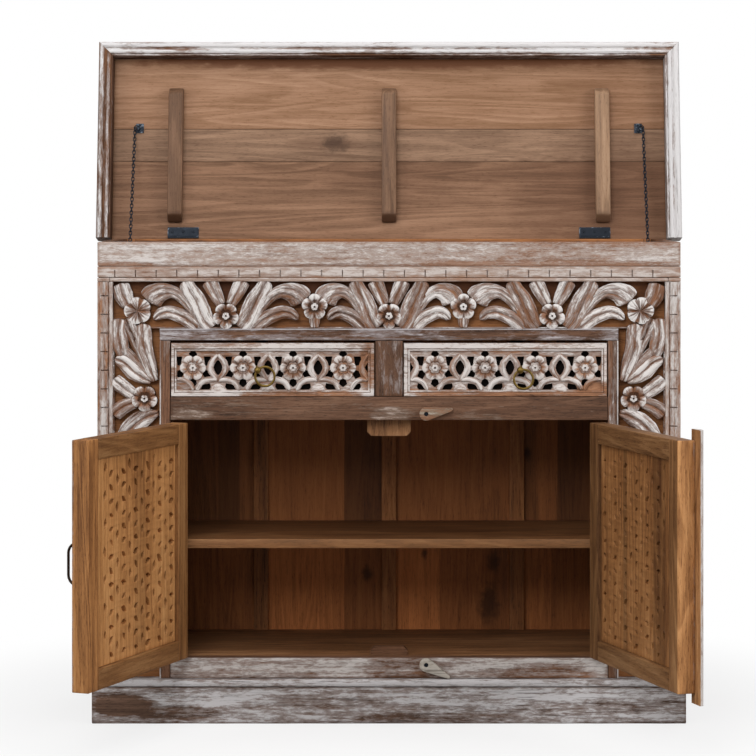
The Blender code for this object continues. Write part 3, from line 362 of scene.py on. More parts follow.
@dataclass(frozen=True)
class Timber:
    """Oiled hardwood: fine pores, streaks and soft figure along the grain.

    Attributes:
        dark: The colour of the dark streaks.
        middle: The main colour.
        light: The colour of the pale streaks.
        figure: How strong the wide wavy figure is.
    """

    dark: Colour
    middle: Colour
    light: Colour
    figure: float = 0.5

    def colour(self, paint: Paint, place: Value) -> tuple[Value, Value]:
        """Paint the wood.

        Args:
            paint: The material's nodes.
            place: Coordinates with X along the grain.

        Returns:
            The colour and the height of the grain.
        """
        drift = paint.noise(place, (1.6, 6.0, 6.0), 3.0, 0.5, 0.3, 1.9)
        streak = paint.noise(place, (3.6, 80.0, 80.0), 8.0, 0.68, 0.3, 2.3)
        fine = paint.noise(place, (16.0, 360.0, 360.0), 4.0, 0.6, 0.2, 2.2)
        pore = paint.noise(place, (75.0, 640.0, 640.0), 3.0, 0.6, 0.0, 2.2)
        rings = paint.noise(place, (1.0, 11.0, 11.0), 2.0, 0.4, 1.3, 11.0)
        lines = rings - paint.node("ShaderNodeMath", {"operation": "FLOOR"}, {0: rings})
        figured = lines.step(0.0, 0.65) * lines.step(1.0, 0.84)
        tone = streak * 0.32 + drift * 0.42 + fine * 0.26
        tone = tone - (figured - 0.4) * (0.26 * self.figure) - pore.step(0.4, 0.16) * 0.2
        stops = {"stops": ((0.16, self.dark), (0.5, self.middle), (0.84, self.light))}
        colour = paint.node("ShaderNodeValToRGB", stops, {0: tone})
        return colour, tone * 0.5 + pore * 0.5


def hardwood(dark: int, middle: int, light: int, figure: float = 0.5) -> Timber:
    """Give a timber by its three colours, each written as 0xRRGGBB."""
    return Timber(srgb(dark), srgb(middle), srgb(light), figure)


@dataclass(frozen=True)
class Boards:
    """The tones of edge-glued boards, which change at each joint.

    Attributes:
        reach: The reach along X, in the piece's own frame, that the joints are given in.
        rows: The joints of the lower row and, where there is one, the upper row. Each joint has its
            place along X and the tone from there on.
        level: The height that parts the rows.
        depth: The level along Y past which the wood has one tone.
    """

    reach: Span
    rows: tuple[tuple[Flat, ...], ...]
    level: float = 0.0
    depth: float = 1.0

    def tint(self, paint: Paint, own: Value, colour: Value) -> Value:
        """Multiply a colour by each board's tone.

        Args:
            paint: The material's nodes.
            own: Coordinates in the piece's own frame.
            colour: The wood's colour.

        Returns:
            The colour of the boards.
        """
        low, high = self.reach
        across = paint.node("ShaderNodeSeparateXYZ", {}, {0: own}, "X")
        share = (across + paint.noise(own, (0.0, 0.0, 5.0), 2.0) * 0.006 - (low + 0.003)) * (
            1 / (high - low))
        tones = []
        for row in self.rows:
            stops = tuple(
                ((place - low) / (high - low), (tone, tone * 0.97, tone * 0.92)) for place, tone in row)
            tones.append(paint.node("ShaderNodeValToRGB", {"stops": stops, "steps": True}, {0: share}))
        tone = tones[0]
        if len(tones) > 1:
            up = paint.node("ShaderNodeSeparateXYZ", {}, {0: own}, "Z")
            tone = paint.mix(up.step(self.level - 0.001, self.level + 0.001), *tones)
            deep = paint.node("ShaderNodeSeparateXYZ", {}, {0: own}, "Y")
            tone = paint.mix(deep.step(self.depth, self.depth + 0.0005), tone, (0.62, 0.58, 0.54))
        return paint.mix(1.0, colour, tone, "MULTIPLY")


def nearness(paint: Paint, own: Value, centre: Point, size: Point) -> Value:
    """Measure how far each place lies from a centre, in shares of a size along each axis.

    Args:
        paint: The material's nodes.
        own: Coordinates in the piece's own frame.
        centre: The centre.
        size: The size along each axis.

    Returns:
        The distance.
    """
    stretch = tuple(1.0 / value for value in size)
    shift = tuple(-value * one for value, one in zip(centre, stretch))
    near = paint.node("ShaderNodeMapping", {}, {"Vector": own, "Location": shift, "Scale": stretch})
    return paint.node("ShaderNodeVectorMath", {"operation": "LENGTH"}, {0: near}, "Value")


def blemishes_and_shade(paint: Paint, own: Value, colour: Value, finish: Bare | Wash) -> Value:
    """Add a finish's knots, each a middle and a radius, and its dark stain marks and painted shade.

    Args:
        paint: The material's nodes.
        own: Coordinates in the piece's own frame.
        colour: The wood's colour so far.
        finish: The finish, with its knots, stain marks and painted shade.

    Returns:
        The colour with its blemishes.
    """
    for *centre, radius in finish.knots:
        size = [radius] * 3
        size[2 if finish.lay.grain is Grain.ALONG_Z else 0] *= 1.7
        warp = paint.noise(own, (60.0, 60.0, 60.0), 4.0, 0.6, 0.5, 1.8)
        dark = (nearness(paint, own, centre, size) + warp * 0.9 - 0.45).step(1.5, 0.25)
        colour = paint.mix(dark * 0.8, colour, tuple(one * 0.3 for one in finish.timber.dark))
    for centre, size, strength in finish.stains_and_shade:
        warp = paint.noise(own, (24.0, 60.0, 60.0), 3.0, 0.6, 0.5, 1.8)
        dark = (nearness(paint, own, centre, size) + warp * 0.4 - 0.2).step(1.1, 0.5)
        deep = tuple(one * share for one, share in zip(finish.timber.dark, (0.6, 0.44, 0.34)))
        colour = paint.mix(dark * strength, colour, deep)
    return colour


@dataclass(frozen=True)
class Bare:
    """A bare wooden finish.

    Attributes:
        name: The material's name.
        timber: The wood.
        lay: How the grain lies.
        knots: Its knots, each a middle and a radius.
        gloss: How dull it is, from 0 to 1.
        boards: The tones of its boards.
        stains_and_shade: Its dark stain marks and painted shade, each a middle, a size and a strength.
    """

    name: str
    timber: Timber
    lay: Lay = Lay()
    knots: tuple[tuple[float, float, float, float], ...] = ()
    gloss: float = 0.56
    boards: Boards | None = None
    stains_and_shade: tuple[tuple[Point, Point, float], ...] = ()

    def make(self) -> bpy.types.Material:
        """Make the material.

        Returns:
            The material.
        """
        paint = Paint(self.name)
        colour, height = self.timber.colour(paint, self.lay.grained(paint))
        own = self.lay.own(paint)
        if self.boards:
            colour = self.boards.tint(paint, own, colour)
        colour = blemishes_and_shade(paint, own, colour, self)
        colour = paint.mix(paint.attribute("wear") * 0.3, colour, self.timber.light)
        rough = height * 0.25 + (self.gloss - 0.12)
        return paint.finish(
            Base_Color=colour, Roughness=rough, Specular_IOR_Level=0.22, Normal=paint.bump(height, 0.0004))


@dataclass(frozen=True)
class Wash:
    """Worn white paint over wood.

    Attributes:
        name: The material's name.
        timber: The wood underneath.
        lay: How the grain lies.
        cover: How much paint is left, from 0 to 1.
        white: The paint where it is thick.
        grey: The paint where it is thin.
        patch: How strongly the paint is worn off in wide patches.
        streak: How strongly it follows the grain.
        relief: How much the carving's height decides where paint is left; when set, low places are also
            darkened as painted shade.
        arris: How far the paint is rubbed off at the edges.
        faces: The faces that are painted, as a direction and a distance; all are where it is empty.
        marks: Places where paint was rubbed off or left, as a middle, a size and a strength.
        scale: How coarse the streaks are.
        boards: The tones of the boards underneath.
        knots: The wood's knots, each a middle and a radius.
        stains_and_shade: The wood's dark stain marks and painted shade, each a middle, a size and a
            strength.
    """

    name: str
    timber: Timber
    lay: Lay = Lay()
    cover: float = 0.6
    white: Colour = srgb(0xD0CAC6)
    grey: Colour = srgb(0xA59892)
    patch: float = 1.0
    streak: float = 1.0
    relief: float = 0.0
    arris: float = 0.5
    faces: tuple[tuple[Point, float], ...] = ()
    marks: tuple[tuple[Point, Point, float], ...] = ()
    scale: float = 1.0
    boards: Boards | None = None
    knots: tuple[tuple[float, float, float, float], ...] = ()
    stains_and_shade: tuple[tuple[Point, Point, float], ...] = ()

    def amount(self, paint: Paint, place: Value) -> Value:
        """Work out how much paint is left at each place.

        Args:
            paint: The material's nodes.
            place: Coordinates with X along the grain.

        Returns:
            The amount, about 0 to 1.
        """
        fine = 1.0 / self.scale
        streak = paint.noise(place, (6.0 * fine, 150.0 * fine, 150.0 * fine), 7.0, 0.7, 0.25, 2.4)
        wide = paint.noise(place, (2.0, 18.0, 18.0), 4.0, 0.6, 0.5, 2.2)
        patch = paint.noise(place, (6.0, 30.0, 30.0), 5.0, 0.65, 0.8, 2.2)
        grit = paint.noise(place, (70.0 * fine, 330.0 * fine, 330.0 * fine), 4.0, 0.7, 0.0, 2.4)
        blot = paint.noise(place, (28.0 * fine, 90.0 * fine, 90.0 * fine), 5.0, 0.7, 0.5, 2.4)
        left = (streak - 0.5) * (0.45 * self.streak) + (wide - 0.5) * (0.42 * self.patch) + self.cover
        left = left + (patch - 0.5) * (0.4 * self.patch) + (grit - 0.5) * 0.38 + (blot - 0.5) * 0.42
        left = left - paint.attribute("wear") * (patch * 1.5 + 0.05) * self.arris
        if self.relief:
            left = left + (paint.attribute("paint") - EVEN) * self.relief
        own = self.lay.own(paint)
        for centre, size, strength in self.marks:
            left = left + self.mark(paint, own, centre, size) * strength
        return left

    def mark(self, paint: Paint, own: Value, centre: Point, size: Point) -> Value:
        """Give a soft spot round a place, where paint was rubbed off or left.

        Args:
            paint: The material's nodes.
            own: Coordinates in the piece's own frame.
            centre: The spot's middle.
            size: Its size along each axis.

        Returns:
            1 in the spot and 0 outside it.
        """
        far = nearness(paint, own, centre, size)
        rough = paint.noise(own, (18.0, 60.0, 60.0), 4.0, 0.6, 0.3, 1.8)
        return (far + rough * 0.6 - 0.3).step(1.15, 0.55)

    def painted(self, paint: Paint, own: Value) -> object:
        """Give 1 on the painted faces and 0 on the bare ones, with a ragged edge.

        Args:
            paint: The material's nodes.
            own: Coordinates in the piece's own frame.

        Returns:
            The share, or the number 1 where every face is painted.
        """
        if not self.faces:
            return 1.0
        ragged = paint.noise(own, (70.0, 70.0, 70.0), 3.0) * 0.002
        most: Value | None = None
        for direction, distance in self.faces:
            reach = paint.node(
                "ShaderNodeVectorMath", {"operation": "DOT_PRODUCT"}, {0: own, 1: direction}, "Value")
            share = (reach + ragged).step(distance - 0.0008, distance + 0.0008)
            most = share if most is None else most.most(share)
        return most

    def make(self) -> bpy.types.Material:
        """Make the material.

        Returns:
            The material.
        """
        paint = Paint(self.name)
        place = self.lay.grained(paint)
        wood, height = self.timber.colour(paint, place)
        left = self.amount(paint, place)
        own = self.lay.own(paint)
        if self.boards:
            wood = self.boards.tint(paint, own, wood)
        wood = blemishes_and_shade(paint, own, wood, self)
        # Where the paint value is low, in hollows, grooves and the walls behind a relief, the wood is
        # darkened as painted shade.
        if self.relief:
            shade = paint.attribute("paint").step(0.34, 0.04) * 0.8
            wood = paint.mix(shade, wood, self.timber.dark)
        painted = self.painted(paint, own)
        thin = left.step(0.26, 0.6) * painted
        thick = left.step(0.5, 0.92) * painted
        tint = paint.noise(place, (18.0, 120.0, 120.0), 5.0, 0.7, 0.3, 2.4)
        coat = paint.mix((thick * 0.8 + tint * 0.35).step(0.2, 1.0), self.grey, self.white)
        colour = paint.mix(thin * (thick * 0.25 + 0.7), wood, coat)
        grime = paint.noise(place, (11.0, 270.0, 270.0), 5.0, 0.7, 0.2, 2.4).step(0.36, 0.1)
        colour = paint.mix(grime * 0.55 * painted, colour, self.timber.dark)
        raised = thin * 0.3 + thick * 0.3 + height * 0.25 + tint * 0.15
        return paint.finish(
            Base_Color=colour, Roughness=thick * 0.16 + 0.62, Specular_IOR_Level=0.25,
            Normal=paint.bump(raised, 0.0008))


@dataclass(frozen=True)
class Metal:
    """A worn metal: a dark skin, with the bright metal showing where it is rubbed.

    Attributes:
        name: The material's name.
        dark: The skin's colour.
        bright: The metal's colour.
        rubbed: How far the skin is rubbed off.
        rough: How rough it is.
        metallic: How metallic it is.
    """

    name: str
    dark: Colour
    bright: Colour
    rubbed: float = 0.4
    rough: float = 0.42
    metallic: float = 0.9

    def make(self) -> bpy.types.Material:
        """Make the material.

        Returns:
            The material.
        """
        paint = Paint(self.name)
        place = Lay().own(paint)
        cloud = paint.noise(place, (90.0, 90.0, 90.0), 5.0, 0.6, 0.5, 2.0)
        grit = paint.noise(place, (900.0, 900.0, 900.0), 3.0)
        share = (cloud * 0.7 + paint.attribute("wear") * 0.5).step(1.0 - self.rubbed, 1.25 - self.rubbed)
        colour = paint.mix(share, self.dark, self.bright)
        rough = cloud * 0.2 - share * 0.1 + self.rough
        return paint.finish(
            Base_Color=colour, Roughness=rough, Metallic=self.metallic,
            Normal=paint.bump(cloud * 0.6 + grit * 0.4, 0.0003))


Finish = Bare | Wash | Metal


@cache
def material(finish: Finish) -> bpy.types.Material:
    """Make a finish's material once, and give it again from then on."""
    return finish.make()


def curve_through(points: Sequence[Flat], share: float) -> tuple[Vector, Vector]:
    """Find a place on a smooth curve through some points.

    Args:
        points: The points, in order.
        share: How far along the curve, from 0 to 1.

    Returns:
        The place and the direction there.
    """
    spans = len(points) - 1
    index = min(int(share * spans), spans - 1)
    local = share * spans - index
    first, second = Vector(points[index]), Vector(points[index + 1])
    before = Vector(points[index - 1]) if index else first * 2 - second
    after = Vector(points[index + 2]) if index + 2 <= spans else second * 2 - first
    start, end = (second - before) / 2, (after - first) / 2
    square, cube = local * local, local ** 3
    place = (first * (2 * cube - 3 * square + 1) + start * (cube - 2 * square + local) + second
             * (3 * square - 2 * cube) + end * (cube - square))
    way = (first * (6 * square - 6 * local) + start * (3 * square - 4 * local + 1) + second
           * (6 * local - 6 * square) + end * (3 * square - 2 * local))
    return place, way.normalized()


def once(parts: Iterable[object]) -> list:
    """Keep each part once and in order, so that every run builds the same mesh."""
    return list(dict.fromkeys(parts))


def mid(span: Span) -> float:
    """Give the middle of a reach."""
    return (span[0] + span[1]) / 2


def round_at(radius: float, degrees: float) -> Flat:
    """Give a point of a circle round the origin."""
    return radius * math.cos(math.radians(degrees)), radius * math.sin(math.radians(degrees))


def along(values: Sequence[float], share: float) -> float:
    """Read a list of values at a share of its length, from 0 to 1.

    Args:
        values: The list.
        share: The share.

    Returns:
        The value there.
    """
    place = share * (len(values) - 1)
    index = min(int(place), len(values) - 2)
    return values[index] + (values[index + 1] - values[index]) * (place - index)


class Solid:
    """A piece of the cabinet while its mesh is being built.

    Its points hold two numbers and a place: paint says how much paint the form holds, and where it is low
    a washed finish with relief also darkens the wood there as painted shade; wear says how near a worn edge
    is, and flow where the point lies along and across its stroke of the carving.
    """

    def __init__(self) -> None:
        """Start an empty mesh."""
        self.mesh = bmesh.new()
        self.mesh.verts.layers.float.new("paint")
        self.mesh.verts.layers.float.new("wear")
        self.mesh.verts.layers.float_vector.new("flow")
        self.strokes = 0

    def mark(self, verts: Iterable[Vert], paint: float, wear: float = 0.0) -> None:
        """Set the two numbers of some points.

        Args:
            verts: The points.
            paint: How much paint they hold.
            wear: How near a worn edge they are.
        """
        layers = self.mesh.verts.layers.float
        for vert in verts:
            vert[layers["paint"]] = paint
            vert[layers["wear"]] = wear

    def board(self, x: Span, y: Span, z: Span, edge: float = 0.0015, ripple: float = 0.0,
              pitch: float = 0.045, fade: float = 0.005) -> list[Vert]:
        """Add a board with softened edges.

        Args:
            x: Its reach along X.
            y: Its reach along Y.
            z: Its reach along Z.
            edge: The width of its softened edges.
            ripple: How deep the hand-planed unevenness is.
            pitch: How far apart the cuts are that carry the unevenness.
            fade: How far the worn look reaches from an edge.

        Returns:
            The board's points.
        """
        spans = [sorted(span) for span in (x, y, z)]
        size = Vector(high - low for low, high in spans)
        centre = Vector((high + low) / 2 for low, high in spans)
        verts = bmesh.ops.create_cube(self.mesh, size=1.0)["verts"]
        bmesh.ops.scale(self.mesh, vec=size, verts=verts)
        bmesh.ops.translate(self.mesh, vec=centre, verts=verts)
        edges = once(one for vert in verts for one in vert.link_edges)
        edge = min(edge, min(size) * 0.3)
        made = bmesh.ops.bevel(
            self.mesh, geom=edges, offset=edge, offset_type="OFFSET", segments=2, profile=0.5,
            affect="EDGES", material=-1)
        verts = made["verts"]
        geometry = once(one for vert in verts for one in (*vert.link_edges, *vert.link_faces)) + verts
        for axis in range(3):
            low, high = spans[axis]
            normal = Vector(1.0 if index == axis else 0.0 for index in range(3))
            cuts = [low + edge + fade, high - edge - fade] if high - low > 3 * (edge + fade) else []
            if ripple and high - low > 3 * pitch:
                count = int((high - low) / pitch)
                cuts += [low + (high - low) * step / count for step in range(1, count)]
            for cut in cuts:
                made = bmesh.ops.bisect_plane(
                    self.mesh, geom=geometry, dist=1e-6, plane_co=normal * cut, plane_no=normal)
                geometry = made["geom"]
        verts = [one for one in geometry if isinstance(one, Vert)]
        layers = self.mesh.verts.layers.float
        for vert in verts:
            gaps = sorted(
                min(vert.co[axis] - spans[axis][0], spans[axis][1] - vert.co[axis]) for axis in range(3))
            vert[layers["wear"]] = max(0.0, 1.0 - gaps[1] / (edge + fade))
            vert[layers["paint"]] = EVEN
        if ripple:
            self.ripple(verts, ripple)
        return verts

    def ripple(self, verts: Sequence[Vert], depth: float, scale: float = 26.0) -> None:
        """Sink points a little, by an even noise, so that a surface looks worked by hand.

        Args:
            verts: The points.
            depth: How far they sink at most.
            scale: How close the hollows lie.
        """
        self.mesh.normal_update()
        moves = [(vert, vert.normal * depth * (0.5 + 0.5 * noise.noise(vert.co * scale))) for vert in verts]
        for vert, move in moves:
            vert.co -= move

    def rod(self, start: Sequence[float], end: Sequence[float], radius: float, sides: int = 12, tip: float
            | None = None) -> list[Vert]:
        """Add a round rod, or a cone where the tip's radius is given.

        Args:
            start: The middle of one end.
            end: The middle of the other.
            radius: Its radius.
            sides: The number of its sides.
            tip: Its radius at the other end.

        Returns:
            Its points.
        """
        start, end = Vector(start), Vector(end)
        way = end - start
        turn = way.to_track_quat("Z", "Y").to_matrix().to_4x4()
        made = bmesh.ops.create_cone(
            self.mesh, cap_ends=True, segments=sides, radius1=radius, radius2=radius if tip is None
            else tip, depth=way.length, matrix=Matrix.Translation((start + end) / 2) @ turn)["verts"]
        self.mark(made, EVEN)
        return made

    def ball(self, centre: Sequence[float], size: Sequence[float], sides: int = 20) -> None:
        """Add an egg-shaped ball with a radius for each axis.

        Args:
            centre: Its middle.
            size: Its radius along each axis.
            sides: The number of its sides.
        """
        place = Matrix.Translation(centre) @ Matrix.Diagonal((*size, 1.0))
        made = bmesh.ops.create_uvsphere(
            self.mesh, u_segments=sides, v_segments=sides // 2, radius=1.0, matrix=place)["verts"]
        self.mark(made, 0.7)

    def screw(self, centre: Sequence[float], way: Sequence[float], radius: float = 0.0032) -> None:
        """Add a slotted screw head that stands a little proud of a plate.

        Args:
            centre: Its middle on the plate.
            way: The way that it faces.
            radius: Its radius.
        """
        centre, way = Vector(centre), Vector(way).normalized()
        depth = radius * 0.35
        verts = self.rod(centre, centre + way * depth, radius, 16, radius * 0.75)
        geometry = once(one for vert in verts for one in (*vert.link_edges, *vert.link_faces)) + verts
        across = way.orthogonal().normalized()
        slot = radius * 0.16
        for side in (-slot, slot):
            made = bmesh.ops.bisect_plane(
                self.mesh, geom=geometry, dist=1e-7, plane_co=centre + across * side, plane_no=across)
            geometry = made["geom"]
        top = [one for one in geometry if isinstance(one, bmesh.types.BMFace) and one.normal.dot(way) > 0.9
               and abs((one.calc_center_median() - centre).dot(across)) < slot]
        sunk = bmesh.ops.extrude_face_region(self.mesh, geom=top)["geom"]
        bmesh.ops.delete(self.mesh, geom=top, context="FACES")
        moved = [one for one in sunk if isinstance(one, Vert)]
        bmesh.ops.translate(self.mesh, vec=-way * depth * 0.7, verts=moved)

    def closed_back(self, verts: Sequence[Vert], back: float) -> None:
        """Run the rim of an open relief straight back to a level along Y and close it there.

        Args:
            verts: The relief's points.
            back: The level.
        """
        rim = once(edge for vert in verts for edge in vert.link_edges if edge.is_boundary)
        made = bmesh.ops.extrude_edge_only(self.mesh, edges=rim)["geom"]
        low = [one for one in made if isinstance(one, Vert)]
        for vert in low:
            vert.co.y = back
        # The walls run back with no paint, so a washed finish darkens them as painted shade.
        self.mark(low, 0.0)
        edges = [one for one in made if isinstance(one, bmesh.types.BMEdge)]
        bmesh.ops.edgeloop_fill(self.mesh, edges=edges)

    def leaf(self, spine: Sequence[Flat], widths: Sequence[float], top: float, back: float, lobes: int = 2,
             relief: float = 0.0065, lean: float = 0.0, steps: int = 26) -> None:
        """Add a carved leaf, scroll or stem.

        Args:
            spine: The points of its middle line, across and up.
            widths: Its width at even shares of the way.
            top: The level along Y of its highest ridge.
            back: The level along Y that it is carved out of.
            lobes: 1 for a rounded back, 2 for two halves with a vein between them, 3 for flutes.
            relief: How far its edges lie below its ridges.
            lean: How far one edge lies lower than the other.
            steps: The number of steps along it.
        """
        columns = 12
        verts = bmesh.ops.create_grid(self.mesh, x_segments=steps, y_segments=columns, size=1.0)["verts"]
        layers = self.mesh.verts.layers
        long = sum((Vector(one) - Vector(two)).length for one, two in zip(spine, spine[1:]))
        self.strokes += 1
        for vert in verts:
            share, side = (vert.co.x + 1) / 2, vert.co.y
            place, way = curve_through(spine, share)
            half = along(widths, share) / 2
            half *= math.sqrt(max(0.03, 1 - (max(0.0, share - 0.9) / 0.1) ** 2))
            ends = min(1.0, share / 0.1 + 0.45, (1 - share) / 0.1 + 0.45)
            if lobes == 1:
                ridge = max(0.0, math.cos(side * math.pi / 2)) ** 0.7
            elif lobes == 2:
                ridge = max(0.0, math.sin(math.pi * min(1.0, 0.06 + 0.94 * abs(side)))) ** 0.75
            else:
                round_back = max(0.0, math.cos(side * math.pi / 2)) ** 0.4
                ridge = (0.55 + 0.45 * abs(math.cos(1.5 * math.pi * side))) * round_back
            height = (0.3 + 0.7 * ridge) * ends - lean * side * 0.4
            depth = (1 - min(1.0, max(0.0, height))) * relief
            spot = place + Vector((-way.y, way.x)) * side * half
            vert.co = (spot.x, top + depth, spot.y)
            # Low paint values in the vein and the low parts let a washed finish darken them as painted
            # shade.
            vert[layers.float["paint"]] = (0.16 + 0.62 * ridge ** 0.8) * (0.5 + 0.5 * ends) + (
                0.55 if abs(side) > 0.9 else 0.0)
            vert[layers.float_vector["flow"]] = (share * long, side * half, 0.137 * self.strokes)
        self.closed_back(verts, back)

    def flower(self, centre: Flat, radius: float, petals: int, top: float, back: float, turn: float = 0.0,
               button: float = 0.27, relief: float = 0.0075, notch: float = 0.24, cuts: int = 0) -> None:
        """Add a carved flower with rounded petals, a sunk ring and a drilled button.

        Args:
            centre: Its middle, across and up.
            radius: From its middle to the petals' tips.
            petals: The number of petals.
            top: The level along Y of its highest part.
            back: The level along Y that it is carved out of.
            turn: How far it is turned.
            button: The button's radius as a share of the flower's, or 0 for none.
            relief: How deep the ring and the notches are.
            notch: How far the outline draws in between two petals, as a share of the radius.
            cuts: The number of fine cuts on each petal.
        """
        rings = [0.0, 0.06, 0.09, 0.2, button, button + 0.03, 0.36, 0.42, 0.48, 0.56, 0.7, 0.85, 0.95, 1.0]
        if not button:
            rings = [0.0, 0.05, 0.1, 0.2, 0.3, 0.4, 0.5, 0.6, 0.7, 0.8, 0.87, 0.93, 0.97, 1.0]
        sides = petals * (24 if cuts else 12)
        verts = bmesh.ops.create_grid(self.mesh, x_segments=sides, y_segments=len(rings) - 1, size=1.0)[
            "verts"]
        layers = self.mesh.verts.layers
        self.strokes += 1
        for vert in verts:
            angle = math.pi * (vert.co.x + 1)
            out = rings[round((vert.co.y + 1) / 2 * (len(rings) - 1))]
            lobe = abs(math.cos(petals * angle / 2))
            reach = radius * (1.0 - notch + notch * lobe ** 0.55)
            if button and out <= button:
                # The drilled hole and the sunk ring hold little paint, so a washed finish darkens them as
                # painted shade.
                height = 0.25 if out < 0.07 else 0.85 + 0.12 * math.sqrt(1 - (out / button) ** 2 * 0.9)
                paint = 0.0 if out < 0.07 else 1.0
            elif button and out < 0.49:
                height, paint = 0.1 + 0.5 * (out - button), 0.05 + 0.5 * (out - button)
            else:
                share = (out - (0.48 if button else 0.0)) / (0.52 if button else 1.0)
                swell = math.sin(math.pi * (0.12 + 0.7 * share)) ** 0.8
                height = 0.2 + 0.72 * swell * (0.25 + 0.75 * min(1.0, lobe * 1.9) ** 0.7)
                paint = 0.25 + 0.85 * share * min(1.0, lobe * 1.6) + 0.1 * (share > 0.9)
            if cuts and 0.15 < out < 1.0:
                cut = max(0.0, -math.cos(petals * cuts * angle)) ** 2
                height, paint = height - 0.13 * cut, paint - 0.32 * cut
            spot = Vector((math.sin(angle + turn), math.cos(angle + turn))) * reach * out
            vert.co = (centre[0] + spot.x, top + (1 - height) * relief, centre[1] + spot.y)
            vert[layers.float["paint"]] = min(1.0, max(0.0, paint))
            vert[layers.float_vector["flow"]] = (out * radius, angle * radius * 0.5, 0.137 * self.strokes)
        bmesh.ops.remove_doubles(self.mesh, verts=verts, dist=1e-6)
        self.closed_back([vert for vert in verts if vert.is_valid], back)

    def plate(self, outline: Sequence[Flat], holes: Sequence[Sequence[Flat]], y: Span, edge: float = 0.0006,
              paint: float = EVEN) -> None:
        """Add a flat plate, upright along X and Z, with holes right through.

        Args:
            outline: Its outer corners, across and up.
            holes: The outline of each hole.
            y: Its reach along Y.
            edge: The width of its softened edges.
            paint: How much paint it holds.
        """
        curve = bpy.data.curves.new("plate", "CURVE")
        curve.dimensions = "2D"
        curve.fill_mode = "BOTH"
        curve.extrude = abs(y[1] - y[0]) / 2 - edge
        curve.bevel_depth = edge
        curve.bevel_resolution = 1
        curve.offset = -edge
        for corners in (outline, *holes):
            spline = curve.splines.new("POLY")
            spline.points.add(len(corners) - 1)
            spline.use_cyclic_u = True
            for point, (across, up) in zip(spline.points, corners):
                point.co = (across, up, 0.0, 1.0)
        holder = bpy.data.objects.new("plate", curve)
        bpy.context.scene.collection.objects.link(holder)
        bpy.context.view_layer.update()
        flat = bpy.data.meshes.new_from_object(holder.evaluated_get(bpy.context.evaluated_depsgraph_get()))
        flat.transform(Matrix.Translation((0.0, mid(y), 0.0)) @ Matrix.Rotation(math.pi / 2, 4, "X"))
        count = len(self.mesh.verts)
        self.mesh.from_mesh(flat)
        self.mesh.verts.ensure_lookup_table()
        verts = list(self.mesh.verts)[count:]
        bmesh.ops.remove_doubles(self.mesh, verts=verts, dist=1e-6)
        self.mark([vert for vert in verts if vert.is_valid], paint)
        bpy.data.objects.remove(holder)
        bpy.data.meshes.remove(flat)
        bpy.data.curves.remove(curve)

    def moulding(self, profile: Sequence[Flat], start: Point, end: Point, out: Point, up: Point = FORWARD,
                 mitres: tuple[float, float] = (0.0, 0.0), cuts: int = 1,
                 paints: Sequence[float] = ()) -> list[Vert]:
        """Run a profile in a straight line.

        Args:
            profile: The profile's corners, out and up from the line.
            start: The line's start.
            end: The line's end.
            out: The direction of the profile's first number.
            up: The direction of its second number.
            mitres: How far each end runs on for each unit out.
            cuts: The number of stretches along the line.
            paints: How much paint each corner of the profile holds.

        Returns:
            The moulding's points.
        """
        start, end, out, up = (Vector(one) for one in (start, end, out, up))
        way = (end - start).normalized()
        paints = paints or [0.6] * len(profile)
        loops = []
        for step in range(cuts + 1):
            share = step / cuts
            base = start.lerp(end, share)
            loop = []
            for (across, rise), paint in zip(profile, paints):
                slide = -mitres[0] * across * (1 - share) + mitres[1] * across * share
                vert = self.mesh.verts.new(base + out * across + up * rise + way * slide)
                self.mark([vert], paint)
                loop.append(vert)
            edges = [self.mesh.edges.new((one, two)) for one, two in zip(loop, loop[1:] + loop[:1])]
            if loops:
                bmesh.ops.bridge_loops(self.mesh, edges=loops[-1] + edges)
            loops.append(edges)
        for edges in (loops[0], loops[-1]):
            bmesh.ops.edgeloop_fill(self.mesh, edges=edges)
        return once(vert for edges in loops for edge in edges for vert in edge.verts)

    def soften(self, verts: Sequence[Vert], edge: float, sharp: float = 25.0) -> None:
        """Soften the sharp edges between some points.

        Args:
            verts: The points.
            edge: The width of the softened edges.
            sharp: The angle, in degrees, past which an edge is sharp.
        """
        edges = once(one for vert in verts for one in vert.link_edges if len(one.link_faces) == 2)
        bmesh.ops.recalc_face_normals(
            self.mesh, faces=once(face for one in edges for face in one.link_faces))
        sharp_edges = [one for one in edges if one.calc_face_angle(0.0) > math.radians(sharp)]
        made = bmesh.ops.bevel(
            self.mesh, geom=sharp_edges, offset=edge, offset_type="OFFSET", segments=2, profile=0.5,
            affect="EDGES", material=-1)
        self.mark(made["verts"], 0.6, 0.7)

    def tube(self, points: Sequence[Sequence[float]], radii: Sequence[float], sides: int = 16) -> None:
        """Add a round bar through some points, with its own radius at each.

        Args:
            points: The points of its middle line.
            radii: The radius at each.
            sides: The number of its sides.
        """
        places = [Vector(point) for point in points]
        loops = []
        for index, (place, radius) in enumerate(zip(places, radii)):
            way = places[min(index + 1, len(places) - 1)] - places[max(index - 1, 0)]
            turn = way.to_track_quat("Z", "Y").to_matrix()
            circle = bmesh.ops.create_circle(self.mesh, segments=sides, radius=radius)["verts"]
            bmesh.ops.rotate(self.mesh, verts=circle, matrix=turn)
            bmesh.ops.translate(self.mesh, verts=circle, vec=place)
            self.mark(circle, 0.6)
            edges = once(edge for vert in circle for edge in vert.link_edges)
            if loops:
                bmesh.ops.bridge_loops(self.mesh, edges=loops[-1] + edges)
            loops.append(edges)
        for edges in (loops[0], loops[-1]):
            bmesh.ops.edgeloop_fill(self.mesh, edges=edges)

